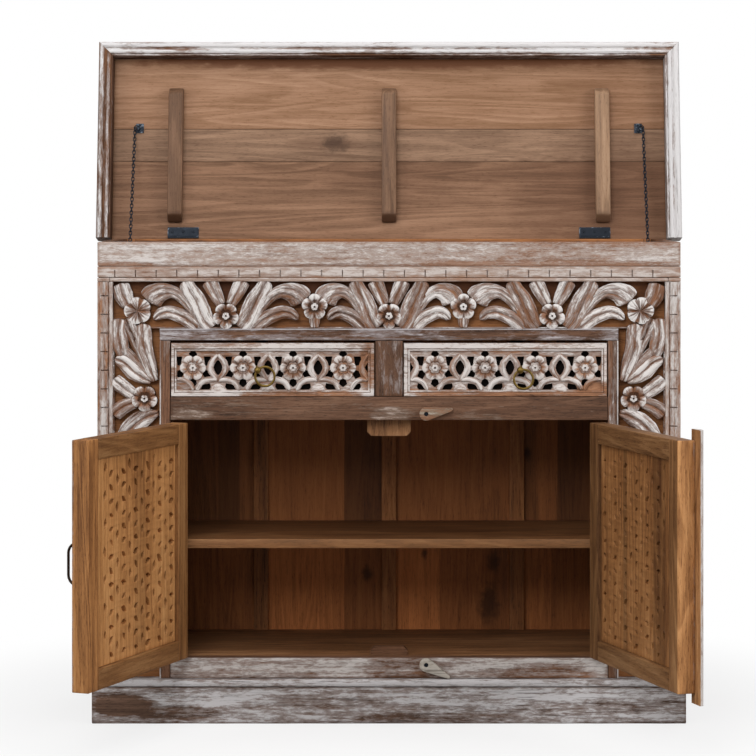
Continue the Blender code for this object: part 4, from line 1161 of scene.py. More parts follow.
    def torus(self, place: Matrix, radius: float, bar: float, segments: int = 40, sides: int = 12,
              stretch: float = 1.0) -> None:
        """Add a ring in the XY plane of a place, stretched along its X for a chain's link.

        Args:
            place: The place.
            radius: The ring's radius.
            bar: The bar's radius.
            segments: The number of steps round the ring.
            sides: The number of the bar's sides.
            stretch: How far it is stretched.
        """
        earlier = set(self.mesh.verts)
        circle = bmesh.ops.create_circle(self.mesh, segments=sides, radius=bar)["verts"]
        bmesh.ops.rotate(self.mesh, verts=circle, matrix=Matrix.Rotation(math.pi / 2, 3, "X"))
        bmesh.ops.translate(self.mesh, verts=circle, vec=(radius, 0.0, 0.0))
        edges = once(edge for vert in circle for edge in vert.link_edges)
        bmesh.ops.spin(self.mesh, geom=circle + edges, cent=(0.0, 0.0, 0.0), axis=UP, dvec=(0.0, 0.0, 0.0),
                       angle=2 * math.pi, steps=segments, use_merge=True)
        verts = [vert for vert in self.mesh.verts if vert not in earlier]
        for vert in verts:
            if stretch != 1.0:
                vert.co.x += math.copysign(radius * (stretch - 1.0), vert.co.x)
        bmesh.ops.transform(self.mesh, matrix=place, verts=verts)
        self.mark(verts, 0.6)

    def finish(self, name: str, body: str, finish: Finish | bpy.types.Material, slot: str,
               nodes: Sequence[str] = (), place: Matrix | None = None) -> bpy.types.Object:
        """Turn the mesh into a piece of the cabinet.

        Args:
            name: The piece's name.
            body: The body that it rides on.
            finish: Its finish, or a material made from one.
            slot: The record's material slot; not used.
            nodes: The nodes of the model that it stands for.
            place: Where it goes from the frame that it was built in.

        Returns:
            The piece.
        """
        flow = self.mesh.verts.layers.float_vector["flow"]
        for vert in self.mesh.verts:
            if not vert[flow].length:
                vert[flow] = vert.co
        if place is not None:
            bmesh.ops.transform(self.mesh, matrix=place, verts=self.mesh.verts)
        bmesh.ops.recalc_face_normals(self.mesh, faces=self.mesh.faces)
        mesh = bpy.data.meshes.new(name)
        self.mesh.to_mesh(mesh)
        self.mesh.free()
        mesh.shade_smooth()
        mesh.set_sharp_from_angle(angle=math.radians(SMOOTH))
        mesh.materials.append(finish if isinstance(finish, bpy.types.Material) else material(finish))
        piece = bpy.data.objects.new(name, mesh)
        bpy.context.scene.collection.objects.link(piece)
        if body:
            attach(piece, body)
        if nodes:
            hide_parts(*nodes)
        LOG.info("%s: %d faces", name, len(mesh.polygons))
        return piece


BROWN = hardwood(0x422614, 0x865430, 0xA87246, 0.8)
FRAME_LEFT = hardwood(0x6A4222, 0xAA7646, 0xCE9C68, 0.7)
FRAME_RIGHT = hardwood(0x684224, 0xA8784C, 0xD0A070, 0.7)
PANEL_LEFT = hardwood(0x86562E, 0xBC8652, 0xD8A46E, 0.6)
PANEL_RIGHT = hardwood(0x603A1E, 0x96683E, 0xB8885A, 0.6)
UNDER = hardwood(0x3A261C, 0x76523C, 0xA2785C, 0.4)
UNDER_DARK = hardwood(0x341F14, 0x68442C, 0x8C6244, 0.6)
ORANGE_UNDER = hardwood(0x3A2418, 0x94684C, 0xC4926E, 0.4)
PINK = hardwood(0x6C4C3A, 0x98745F, 0xB89884, 0.3)
RIM_WOOD = hardwood(0x3A2214, 0x744E34, 0x9C7050, 0.4)
PLINTH_WOOD = hardwood(0x2C2019, 0x5C4436, 0x826452, 0.4)
LOWER_WOOD = hardwood(0x322218, 0x624432, 0x886650, 0.5)
RIM_MARKS = (((-0.3, -0.39, -0.03), (0.1, 0.02, 0.05), 0.2), ((0.42, -0.39, -0.03), (0.1, 0.02, 0.05), 0.2))
IRON = Metal("black_iron_leaf", srgb(0x2C3139), srgb(0x78808A), rubbed=0.25, rough=0.45)
BRASS = Metal("antique_brass", srgb(0x7A6432), srgb(0xC4AA6C), rubbed=0.55, rough=0.34)
BRONZE = Metal("dark_bronze", srgb(0x32241A), srgb(0x886A4A), rubbed=0.3, rough=0.4)
# A near-black sheet behind the drawers' holes stands in for the shadow there: painted shadow.
SHADOW = Bare("drawer_shadow_sheet", hardwood(0x0A0705, 0x140D0A, 0x1E140F), gloss=0.9)
# The lower row's tones are set well above the upper row's: painted light on the lower back and painted shade
# on the upper back, on top of each board's own tone.
BACK_BOARDS_AND_LIGHT = Boards(
    (-0.56, 0.56), (((-0.56, 1.1), (-0.352, 1.22), (-0.262, 1.72), (-0.135, 1.56), (-0.092, 0.92),
    (0.006, 1.74), (0.105, 1.18), (0.195, 0.96), (0.262, 1.4), (0.33, 1.02), (0.43, 1.3)),
    ((-0.56, 0.6), (-0.352, 0.42), (-0.31, 0.8), (-0.262, 1.02), (-0.092, 0.44), (-0.006, 0.98),
    (0.15, 0.92), (0.262, 0.68), (0.3, 0.98), (0.345, 0.46), (0.43, 0.54))), 0.34, 0.18)
DOOR_BOARDS = {
    "left": Boards((0.0, 0.42), (((0.0, 0.96), (0.09, 1.02), (0.172, 0.84), (0.214, 1.0), (0.3, 1.06)),)),
    "right": Boards((-0.42, 0.0), (((-0.42, 0.98), (-0.345, 0.74), (-0.29, 1.02), (-0.166, 0.66),
    (-0.15, 1.02), (-0.08, 0.96)),)),}
# The right door's free edge face, past -0.416, is given a lighter tone as a painted highlight.
STILE_BOARDS_AND_LIGHT = {
    "left": Boards((0.0, 0.42), (((0.0, 0.66), (0.2, 1.15), (0.416, 0.98)),)),
    "right": Boards((-0.42, 0.0), (((-0.42, 1.34), (-0.416, 0.66), (-0.2, 0.46)),))}
RAIL_BOARDS = {
    "left": Boards((0.0, 0.42), (((0.0, 0.6), (0.3, 0.56)),)),
    "right": Boards((-0.42, 0.0), (((-0.42, 0.52), (-0.2, 0.46)),))}


class Bench:
    """What every sub-assembly works from: the model's nodes, its joints and the body of each node."""

    def __init__(self, frame: dict) -> None:
        """Keep the loaded frame.
        """
        self.nodes = frame["nodes"]
        self.joints = {joint["name"]: joint for joint in frame["joints"]}
        self.bodies = {node: body for body, members in frame["record"]["behaviour"]["bodies"].items()
                       for node in members}

    def spans(self, node: str, place: Matrix | None = None) -> tuple[Span, Span, Span]:
        """Give a node's reach along each axis, or along those of a moved frame.

        Args:
            node: The node.
            place: The moved frame.

        Returns:
            The reach along X, Y and Z.
        """
        back = Matrix.Identity(4) if place is None else place.inverted()
        points = [back @ vert.co for vert in self.nodes[node].data.vertices]
        return tuple((min(point[axis] for point in points), max(point[axis] for point in points))
                     for axis in range(3))

    def dress(self, finish: Finish, slot: str, *nodes: str) -> None:
        """Give some nodes of the model a finish.

        Args:
            finish: The finish.
            slot: The record's material slot; not used.
            nodes: The nodes' names.
        """
        for name in nodes:
            node = self.nodes[name]
            node.data.materials.clear()
            node.data.materials.append(material(finish))
            LOG.info("%s: finished as %s", name, finish.name)

    def rework(self, node: str, finish: Bare | Wash, slot: str, ripple: float = 0.0004,
               edge: float = 0.0016) -> bpy.types.Object:
        """Stand a hand-worked board in for a plain one of the model.

        Args:
            node: The plain board.
            finish: Its finish.
            slot: The record's material slot.
            ripple: How deep its unevenness is.
            edge: The width of its softened edges.

        Returns:
            The new piece.
        """
        solid = Solid()
        solid.board(*self.spans(node), edge=edge, ripple=ripple)
        return solid.finish(node + "_wood", self.bodies[node], finish, slot, [node])

    def shut(self, joint: str) -> tuple[Matrix, Point, Point]:
        """Find the frame in which a hinged part was built shut.

        Args:
            joint: The hinge, whose longer travel shuts the part.

        Returns:
            The matrix that opens it as it stands at rest, with its location and Euler turn.
        """
        facts = self.joints[joint]
        travel = max(facts["range_deg"], key=abs)
        turn = Matrix.Rotation(-math.radians(travel), 4, Vector(facts["axis"]))
        place = Matrix.Translation(facts["pos_m"]) @ turn
        return place, tuple(facts["pos_m"]), tuple(turn.to_euler())


@dataclass
class Assembly:
    """What every sub-assembly has: its bench, the body that it rides on and the place that opens it."""

    bench: Bench
    body: ClassVar[str] = "case"
    place: ClassVar[Matrix | None] = None
    origin: ClassVar[Point] = (0.0, 0.0, 0.0)
    turn: ClassVar[Point] = (0.0, 0.0, 0.0)

    def spans(self, node: str) -> tuple[Span, Span, Span]:
        """Give a node's reach along each axis of the frame that the sub-assembly is built in."""
        return self.bench.spans(node, self.place)

    def lay(self, grain: Grain, shift: float) -> Lay:
        """Say how a finish lies on a piece that is built in the sub-assembly's frame."""
        return Lay(grain, self.origin, self.turn, shift)

    def add(self, solid: Solid, name: str, finish: Finish, slot: str, *nodes: str) -> bpy.types.Object:
        """Turn a solid into a piece of the sub-assembly that stands for some nodes of the model."""
        return solid.finish(name, self.body, finish, slot, nodes, self.place)


@dataclass
class Front(Assembly):
    """The case's front: rails, stiles and notched mouldings round the carving."""

    nick: float = 0.0022
    top_pitch: float = 0.0398
    top_first: float = -0.01
    side_pitch: float = 0.0358
    bead: float = 0.0028
    pale: float = 1.15

    def build(self) -> None:
        """Build every board of the front."""
        self.rails()
        self.top_moulding()
        for side, sign in SIDES:
            self.side_moulding(side, sign)

    def rails(self) -> None:
        """Build the rails and stiles."""
        top = Wash(
            "top_rail_wash", PINK, Lay(shift=0.3), cover=0.7, patch=1.1, streak=0.6, arris=0.3, scale=0.6,
            white=srgb(0xD8D1CD), grey=srgb(0xB6A8A0),
            marks=(((0.3, -0.184, 0.88), (0.3, 0.1, 0.012), -0.35),
            ((-0.52, -0.184, 0.88), (0.08, 0.1, 0.01), -0.4)))
        self.bench.rework("front_top_rail", top, "whitewash", 0.0006)
        low = Wash(
            "bottom_rail_wash", UNDER, Lay(shift=4.1), cover=0.73, patch=0.9, arris=0.2,
            faces=self.front("bottom_rail"), marks=(((0.03, -0.184, 0.105), (0.09, 0.1, 0.03), -0.3),
            ((0.3, -0.184, 0.095), (0.12, 0.1, 0.02), -0.25)))
        self.bench.rework("bottom_rail", low, "whitewash", 0.0006)
        rail = Wash(
            "lower_rail_wash", LOWER_WOOD, Lay(shift=2.2), cover=0.2, patch=1.0, arris=0.1,
            grey=srgb(0x7C685A), white=srgb(0xB09E92), faces=self.front("lower_rail"),
            marks=(((0.004, -0.184, 0.59), (0.05, 0.1, 0.022), 0.45),
            ((0.17, -0.184, 0.582), (0.06, 0.1, 0.018), 0.3),
            ((-0.38, -0.184, 0.592), (0.05, 0.1, 0.012), 0.4)))
        self.bench.rework("lower_rail", rail, "thin_wash", 0.0006)
        centre = Wash("centre_stile_wash", LOWER_WOOD, Lay(Grain.ALONG_Z, shift=1.3), cover=0.6, patch=2.4,
                      arris=0.2, streak=0.4, grey=srgb(0x968A86), faces=self.front("centre_stile"))
        self.bench.rework("centre_stile", centre, "thin_wash", 0.0006)
        frame = Wash(
            "inner_rail_wash", LOWER_WOOD, Lay(shift=5.0), cover=0.44, patch=2.3, arris=0.0, relief=0.9,
            white=srgb(0xBAB4B6), grey=srgb(0x8E8280), faces=self.front("inner_top_rail"))
        top = self.spans("inner_top_rail")[2][1]
        self.edged("inner_top_rail", frame, z=(top - self.bead, top))
        upright = Wash(
            "inner_stile_wash", UNDER, Lay(Grain.ALONG_Z, shift=6.0), cover=0.28, patch=2.6, streak=0.4,
            arris=0.0, relief=0.9, grey=srgb(0x8C7C74), faces=self.front("inner_stile_left"))
        for side, sign in SIDES:
            outer = self.spans("inner_stile_" + side)[0][max(sign, 0)]
            self.edged("inner_stile_" + side, upright, x=(outer, outer - sign * self.bead))

    def front(self, node: str) -> tuple[tuple[Point, float], ...]:
        """Say that only a board's front is painted."""
        return ((FORWARD, -self.spans(node)[1][0] - 0.0035),)

    def edged(self, node: str, finish: Wash, x: Span | None = None, z: Span | None = None) -> None:
        """Build a board with the raised and paler edge beside the carving.

        Args:
            node: The model's board.
            finish: Its finish.
            x: The edge's reach along X, where that isn't the board's.
            z: The edge's reach along Z, where that isn't the board's.
        """
        across, y, up = self.spans(node)
        solid = Solid()
        solid.board(across, (y[0] + 0.0015, y[1]), up, ripple=0.0004)
        verts = solid.board(x or across, (y[0], y[0] + 0.004), z or up, edge=0.0009, ripple=0.0003)
        solid.mark(verts, self.pale)
        self.add(solid, node + "_wood", finish, "thin_wash", node)

    def top_moulding(self) -> None:
        """Build the flat band with short nicks, and the fillet under it."""
        x, y, z = self.spans("tick_moulding_top")
        fillet = z[0] + 0.0076
        solid = Solid()
        solid.board(x, (y[0], y[1]), (fillet + 0.0008, z[1]), edge=0.0009, ripple=0.0005)
        solid.board((x[0] + 0.024, x[1] - 0.024), (y[0], y[1]), (z[0], fillet), edge=0.0016, ripple=0.0005)
        for end in (0, 1):
            corner = (x[0], x[0] + 0.0235) if end == 0 else (x[1] - 0.0235, x[1])
            solid.board(corner, (y[0] + 0.0003, y[1]), (z[0], fillet), edge=0.0012)
        finish = Wash("top_moulding_wash", PINK, Lay(shift=7.7), cover=0.71, patch=0.7, arris=0.25,
                      white=srgb(0xCEC4BE), grey=srgb(0xB2A096))
        piece = self.add(solid, "tick_moulding_top_wood", finish, "whitewash", "tick_moulding_top")
        count = int((x[1] - 0.02) / self.top_pitch)
        cutter = Solid()
        for step in range(-count, count + 1):
            middle = self.top_first + step * self.top_pitch
            cutter.board((middle - self.nick / 2, middle + self.nick / 2), (y[0] - 0.004, y[0] + 0.0052),
                         (fillet + 0.001, fillet + 0.0148), edge=0.0002, fade=0.0)
        self.cut(piece, cutter)

    def side_moulding(self, side: str, sign: int) -> None:
        """Build the fluted strip with nicks across it, beside a column.

        Args:
            side: The side.
            sign: -1 on the left and 1 on the right.
        """
        node = "tick_moulding_" + side
        x, y, z = self.spans(node)
        inner = x[1] if sign < 0 else x[0]
        wide = x[1] - x[0]
        solid = Solid()
        profile = (
            (0.0, 0.0), (0.0, 0.0206), (0.0012, 0.0214), (0.006, 0.0214), (0.0072, 0.02), (0.0085, 0.0198),
            (0.0098, 0.0216), (0.015, 0.0219), (0.02, 0.0219), (0.024, 0.0218), (wide - 0.0012, 0.0217),
            (wide, 0.0206), (wide, 0.0))
        # The groove's low paint values give it a dark line of painted shade.
        paints = (0.4, 0.7, 0.8, 0.7, 0.1, 0.1, 0.8, 0.9, 0.8, 0.45, 0.3, 0.3, 0.2)
        solid.moulding(profile, (inner, y[1], z[0]), (inner, y[1], z[1]), (sign, 0.0, 0.0), FORWARD,
                       cuts=48, paints=paints)
        solid.ripple(list(solid.mesh.verts), 0.0004, 60.0)
        # The right strip is given more paint than the left, partly as a painted highlight on the side the
        # light comes from.
        finish = Wash(
            "side_moulding_wash_" + side, ORANGE_UNDER, Lay(Grain.ALONG_Z, shift=3.0 + sign), cover=0.54
            if sign < 0 else 0.73, patch=1.4, arris=0.0, relief=0.4, white=srgb(0xD0CAC6),
            grey=srgb(0xAC9C94))
        piece = self.add(solid, node + "_wood", finish, "whitewash", node)
        cutter = Solid()
        level = z[1] - self.side_pitch * 0.75
        while level > z[0] + self.side_pitch / 2:
            cutter.board((inner + sign * 0.0088, inner + sign * 0.0232), (y[0] - 0.004, y[0] + 0.005),
                         (level - self.nick / 2, level + self.nick / 2), edge=0.0002, fade=0.0)
            level -= self.side_pitch
        self.cut(piece, cutter)

    def cut(self, piece: bpy.types.Object, cutter: Solid) -> None:
        """Cut a solid out of a piece.

        Args:
            piece: The piece.
            cutter: The solid.
        """
        mesh = bpy.data.meshes.new("cutter")
        bmesh.ops.recalc_face_normals(cutter.mesh, faces=cutter.mesh.faces)
        cutter.mesh.to_mesh(mesh)
        cutter.mesh.free()
        tool = bpy.data.objects.new("cutter", mesh)
        bpy.context.scene.collection.objects.link(tool)
        modifier = piece.modifiers.new("nicks", "BOOLEAN")
        modifier.object = tool
        modifier.operation = "DIFFERENCE"
        modifier.solver = "EXACT"
        bpy.context.view_layer.update()
        graph = bpy.context.evaluated_depsgraph_get()
        result = bpy.data.meshes.new_from_object(piece.evaluated_get(graph), depsgraph=graph)
        piece.modifiers.clear()
        for one in result.attributes["paint"].data:
            one.value = one.value if one.value > 0.05 else 0.7
        result.set_sharp_from_angle(angle=math.radians(SMOOTH))
        piece.data = result
        bpy.data.objects.remove(tool)
        bpy.data.meshes.remove(mesh)


@dataclass
class Spray:
    """One element of the carving, in millimetres from the flower that it springs from.

    Attributes:
        spine: Its middle line, across and up.
        widths: Its width at even shares of the way.
        lobes: Its form, as for a leaf.
        sunk: How far it lies below the carving's face.
        lean: How far one edge lies lower than the other.
    """

    spine: tuple[Flat, ...]
    widths: tuple[float, ...]
    lobes: int = 2
    sunk: float = 0.0
    lean: float = 0.0


@dataclass
class Carving(Assembly):
    """The openwork apron and columns in front of their backing board."""

    flower_z: float = 0.7825
    small_x: float = 0.1432
    small_rise: float = 0.0175
    large_x: float = 0.314
    outer_stretch: float = 1.18
    radius: float = 0.0252
    corner: Flat = (0.4838, 0.7925)
    corner_radius: float = 0.0262
    column_x: float = 0.4706
    column_z: float = 0.6234
    column_pitch: float = 0.13
    apron: tuple[Spray, ...] = (
        Spray(((-50, 0), (-60, 18), (-72, 35), (-87, 46), (-104, 46), (-118, 38), (-126, 27)),
        (12, 17, 20, 24, 36, 48, 46), 3, 1.0, 0.2),
        Spray(((-46, -24), (-63, -7), (-78, 2), (-93, 7), (-106, 4), (-118, -7)), (26, 28, 27, 25, 22, 12),
        2, 1.2), Spray(((-25, -24), (-36, -7), (-43, 11), (-50, 30), (-60, 50), (-67, 69)),
        (24, 38, 42, 40, 32, 26), 2, 0.0, 0.2), Spray(((-8, 22), (-14, 36), (-21, 52), (-28, 69)),
        (18, 25, 29, 31), 2, 0.6),)
    column: tuple[Spray, ...] = (
        Spray(((20, 34), (10, 62), (-1, 96), (-3, 122), (-4, 144)), (13, 28, 34, 34, 30), 2, 0.3, 0.3),
        Spray(((15, 36), (0, 72), (-15, 106), (-26, 130), (-36, 154)), (12, 20, 22, 24, 26), 2, 1.0),
        Spray(((-40, 80), (-46, 102), (-50, 126), (-47, 154)), (20, 32, 36, 32), 2, 0.8),
        Spray(((12, 36), (-4, 58), (-24, 78), (-45, 98)), (10, 17, 20, 20), 1, 1.5),
        Spray(((12, 32), (-6, 42), (-22, 54), (-38, 69), (-57, 77)), (11, 27, 35, 30, 17), 2, 0.7),)
    ears: tuple[Spray, ...] = (
        Spray(((-20, 7), (-36, 18), (-48, 27), (-60, 37)), (22, 27, 29, 27), 2, 0.7),
        Spray(((-20, -8), (-38, -15), (-49, -22), (-60, -32)), (22, 28, 30, 28), 2, 0.7),
        Spray(((27, -28), (10, -33), (-10, -44), (-30, -62), (-50, -84)), (11, 26, 38, 38, 18), 2, 0.2),)
    lower: tuple[Spray, ...] = (
        Spray(((27, -60), (13, -74), (-4, -90), (-26, -104), (-44, -112)), (10, 24, 32, 27, 13), 2, 0.8),)

    def build(self) -> None:
        """Carve the apron and both columns."""
        x, y, z = self.spans("carved_apron")
        self.top, self.back = y
        wood = hardwood(0x362116, 0x845A40, 0xB08060, 0.4)
        finish = Wash("carving_wash", wood, Lay(carved=True), cover=0.54, patch=1.5, streak=0.6,
                      relief=0.85, arris=0.0, scale=0.8, white=srgb(0xE2DDDA), grey=srgb(0x9C8E88))
        solid = Solid()
        self.spray(solid, self.apron, 0.0, 1)
        self.spray(solid, self.apron, 0.0, -1)
        solid.flower((0.0, self.flower_z), self.radius, 5, self.top, self.back, math.pi)
        for sign in (-1, 1):
            self.half(solid, sign)
        solid.board(x, (self.top + 0.006, self.back), (z[0], z[0] + 0.0022), edge=0.0006)
        self.add(solid, "apron_carving", finish, "carving_wash", "carved_apron")
        for side, sign in SIDES:
            self.column_carving(side, sign, finish)

    def spray(self, solid: Solid, sprays: Iterable[Spray], middle: float, sign: int, stretch: float = 1.0,
              level: float | None = None, squeeze: float = 1.0) -> None:
        """Add a half motif beside a flower.

        Args:
            solid: The piece that is being carved.
            sprays: Its leaves.
            middle: The flower's place across.
            sign: 1 as drawn, towards -X, or -1 mirrored.
            stretch: How far it is stretched across.
            level: The flower's height, or the apron's where it is left out.
            squeeze: How far it is stretched upwards.
        """
        base = self.flower_z if level is None else level
        for one in sprays:
            spine = [(middle + sign * across * stretch / 1000, base + up * squeeze / 1000) for across,
                     up in one.spine]
            widths = [width / 1000 for width in one.widths]
            solid.leaf(spine, widths, self.top + one.sunk / 1000 + 0.0004, self.back, one.lobes,
                       lean=one.lean * sign)

    def half(self, solid: Solid, sign: int) -> None:
        """Add the motifs and flowers of one half of the apron.

        Args:
            solid: The piece that is being carved.
            sign: -1 on the left and 1 on the right.
        """
        small = (sign * self.small_x, self.flower_z + self.small_rise)
        large = (sign * self.large_x, self.flower_z)
        self.spray(solid, self.apron, large[0], 1, self.outer_stretch)
        self.spray(solid, self.apron, large[0], -1, self.outer_stretch)
        solid.flower(small, self.radius, 5, self.top, self.back)
        solid.flower(large, self.radius, 5, self.top, self.back, math.pi)
        stem = [(small[0], small[1] - 0.02), (small[0], small[1] - 0.032), (small[0], small[1] - 0.0405)]
        solid.leaf(stem, (0.022, 0.019, 0.014), self.top + 0.001, self.back, 3, steps=12)
        corner = (sign * self.corner[0], self.corner[1])
        leaf = [(sign * 0.501, 0.803), (sign * 0.511, 0.822), (sign * 0.517, 0.845)]
        solid.leaf(leaf, (0.026, 0.037, 0.031), self.top + 0.001, self.back, 2)
        solid.flower(corner, self.corner_radius, 5, self.top, self.back, 0.3 * sign, button=0.0,
                     relief=0.006, notch=0.16, cuts=4)

    def column_carving(self, side: str, sign: int, finish: Wash) -> None:
        """Carve one column from the apron to the plinth.

        Args:
            side: The side.
            sign: -1 on the left and 1 on the right.
            finish: The carving's finish.
        """
        node = "carved_column_" + side
        x, _, z = self.spans(node)
        solid = Solid()
        middle = sign * self.column_x
        self.spray(solid, self.column, middle, -sign, 1.0, self.column_z)
        level = self.column_z
        while level - self.radius > z[0]:
            parts = self.ears + self.lower
            if level - 0.112 < z[0]:
                parts = self.ears[:1]
            self.spray(solid, parts, middle, -sign, 1.0, level)
            solid.flower((middle, level), self.radius, 5, self.top, self.back, math.pi)
            level -= self.column_pitch
        outer = x[0] if sign < 0 else x[1]
        solid.board((outer, outer - sign * 0.0022), (self.top + 0.006, self.back), z, edge=0.0006)
        self.add(solid, node.replace("carved_column", "column_carving"), finish, "carving_wash", node)


@dataclass
class DrawerFront(Assembly):
    """A drawer's pierced and carved front with its brass ring."""

    side: str
    sign: int
    flower_z: float = 0.6827
    first: float = 0.0885
    pitch: float = 0.0963
    count: int = 4
    radius: float = 0.025
    borders: tuple[float, float, float, float] = (0.0115, 0.01, 0.0112, 0.0152)

    def build(self) -> None:
        """Build the front, the dark sheet that paints the shadow behind its holes, the stud and the ring."""
        self.body = "drawer_" + self.side
        node = "drawer_front_" + self.side
        x, y, z = self.spans(node)
        near, far = sorted((abs(x[0]), abs(x[1])))
        self.y, self.z = y, z
        self.inner, self.outer = near + self.borders[0], far - self.borders[1]
        self.low, self.high = z[0] + self.borders[2], z[1] - self.borders[3]
        solid = Solid()
        corners = ((near, z[0]), (far, z[0]), (far, z[1]), (near, z[1]))
        solid.plate(
            [(self.sign * across, up) for across, up in corners],
            [[(self.sign * across, up) for across, up in hole] for hole in self.holes()],
            (y[0] + 0.0052, y[1] - 0.003), paint=0.42)
        self.border(solid, near, far)
        self.ornament(solid)
        marks = (
            ((self.sign * 0.17, y[0], z[0] + 0.003), (0.14, 0.1, 0.01), -0.6),
            ((0.31, y[0], z[0] + 0.003), (0.12, 0.1, 0.01), -0.6),
            ((-0.04, y[0], 0.685), (0.022, 0.1, 0.05), -0.45), ((0.4, y[0], 0.64), (0.04, 0.1, 0.02), -0.5))
        finish = Wash(
            "drawer_wash_" + self.side, ORANGE_UNDER, Lay(shift=self.sign * 2.7, carved=True), cover=0.65,
            patch=1.2, streak=0.6, relief=0.8, arris=0.4, marks=marks, scale=0.8, white=srgb(0xDAD3CF),
            grey=srgb(0xA89890))
        self.add(solid, "drawer_carving_" + self.side, finish, "carving_wash", node)
        # The dark sheet behind the holes is painted shadow.
        shadow_sheet = Solid()
        shadow_sheet.board(
            (x[0] + 0.001, x[1] - 0.001), (y[1] - 0.0028, y[1]), (z[0] + 0.001, z[1] - 0.001), edge=0.0005)
        self.add(shadow_sheet, "drawer_lining_" + self.side, SHADOW, "brown_wood")
        self.pull()

    def flowers(self) -> list[float]:
        """Give the flowers' places across."""
        return [self.first + index * self.pitch for index in range(self.count)]

    def diamonds(self) -> list[float]:
        """Give the places across of the pointed ovals between the flowers."""
        return [self.first + (index + 0.5) * self.pitch for index in range(self.count - 1)]

    def oval(self, middle: Flat, wide: float, tall: float, corners: int = 12, turn: float = 0.0,
             point: float = 1.0) -> list[Flat]:
        """Give the outline of a round or, with a point under 1, a pointed hole.

        Args:
            middle: Its middle, across and up.
            wide: Its width.
            tall: Its height.
            corners: The number of its corners.
            turn: The first corner's angle.
            point: How pointed it is.

        Returns:
            The corners.
        """
        made = []
        for index in range(corners):
            angle = 2 * math.pi * index / corners + turn
            across, up = math.cos(angle), math.sin(angle)
            across = math.copysign(abs(across) ** (1 / point), across)
            up = math.copysign(abs(up) ** (1 / point), up)
            made.append((middle[0] + across * wide / 2, middle[1] + up * tall / 2))
        return made

    def corner(self, middle: Flat, way: int, corners: Sequence[Flat]) -> list[Flat]:
        """Give a hole's corners beside a flower, mirrored where way is -1."""
        return [(middle[0] + way * across, middle[1] + up) for across, up in corners]

    def holes(self) -> list[list[Flat]]:
        """Give every hole's outline, for the right-hand drawer.

        Returns:
            The outlines.
        """
        made = []
        z = self.flower_z
        for middle in self.flowers():
            made.append(self.oval((middle, z + 0.0262), 0.0165, 0.0135, 6))
            made.append(self.oval((middle, z - 0.029), 0.017, 0.018, 5, -math.pi / 2))
            for way in (-1, 1):
                made.append(
                    self.corner((middle, z), way, ((0.0205, 0.0215), (0.034, 0.0215), (0.035, 0.015),
                    (0.03, 0.004), (0.0235, 0.003))))
                made.append(
                    self.corner((middle, z), way, ((0.018, -0.013), (0.0225, -0.004), (0.03, -0.006),
                    (0.0345, -0.017), (0.024, -0.0225))))
                if self.inner + 0.012 < middle + way * 0.0225 < self.outer - 0.012:
                    made.append(
                        self.corner((middle, z), way, ((0.0135, -0.0425), (0.0185, -0.0325), (0.033, -0.03),
                        (0.0345, -0.0375), (0.031, -0.0425))))
        for middle in self.diamonds():
            made.append(self.oval((middle, z), 0.0175, 0.03, 12, 0.0, 0.72))
        edge = self.inner + 0.0035
        made.append([(self.inner + 0.0008, z + 0.01), (self.inner + 0.0008, z - 0.01), (edge + 0.0035, z)])
        inside = []
        for hole in made:
            inside.append([(min(max(across, self.inner), self.outer), min(max(up, self.low), self.high))
                           for across, up in hole])
        return [hole for hole in inside if len(set(hole)) == len(hole)]

    def border(self, solid: Solid, near: float, far: float) -> None:
        """Add the raised border with its lip, mitred at the corners.

        Args:
            solid: The piece that is being carved.
            near: The front's inner end.
            far: Its outer end.
        """
        lip = 0.0016
        corners = ((self.inner, self.low), (self.outer, self.low), (self.outer, self.high),
                   (self.inner, self.high))
        outs = ((0, -1), (1, 0), (0, 1), (-1, 0))
        wides = (self.low - self.z[0], far - self.outer, self.z[1] - self.high, self.inner - near)
        deep = 0.0135
        for index, (start, out, wide) in enumerate(zip(corners, outs, wides)):
            end, ends = corners[(index + 1) % 4], (wides[index - 1], wides[(index + 1) % 4])
            profile = ((0.0, 0.0), (0.0, deep - lip - 0.0008), (0.0008, deep - lip), (0.003, deep - lip),
                       (0.0036, deep - 0.0026), (0.0044, deep - 0.0005), (0.0052, deep),
                       (wide - 0.001, deep), (wide, deep - 0.001), (wide, 0.0))
            # The groove beside the lip holds little paint and is darkened as painted shade.
            paints = (0.3, 0.8, 0.9, 0.8, 0.1, 0.6, 0.8, 0.75, 0.4, 0.3)
            solid.moulding(
                profile, (self.sign * start[0], self.y[0] + deep, start[1]),
                (self.sign * end[0], self.y[0] + deep, end[1]), (self.sign * out[0], 0.0, out[1]), FORWARD,
                (ends[0] / wide, ends[1] / wide), cuts=8, paints=paints)

    def ornament(self, solid: Solid) -> None:
        """Carve the flowers, pointed ovals, arches and bumps.

        Args:
            solid: The piece that is being carved.
        """
        back = self.y[0] + 0.01
        z = self.flower_z
        for middle in self.flowers():
            solid.flower((self.sign * middle, z), self.radius, 6, self.y[0] + 0.0002, back, math.pi / 6,
                         relief=0.0062, notch=0.27)
        for middle in self.diamonds():
            for way in (-1, 1):
                self.stroke(
                    solid, middle, way, ((0, 25.5), (-12.5, 10), (-13.5, -6), (-1, -25)), (6, 11.5, 12, 6))
                self.stroke(
                    solid, middle, way, ((-1, -23), (-18, -22.5), (-33, -29), (-42, -44)), (7, 11, 11, 8))
            solid.ball((self.sign * middle, self.y[0] + 0.0075, z - 0.0445), (0.0142, 0.0066, 0.015), 24)
        start = self.inner - 0.0005
        self.stroke(solid, start, -1, ((1, 26), (12, 10), (12, -6), (1, -25)), (5, 9, 9.5, 5), flip=False)
        self.stroke(solid, start, -1, ((2, -24), (14, -23), (26, -29), (35, -44)), (6, 9, 9, 7), flip=False)
        self.stroke(solid, self.outer, 1, ((-1, -22), (-14, -23), (-27, -31), (-33, -44)), (6, 9, 9, 7))

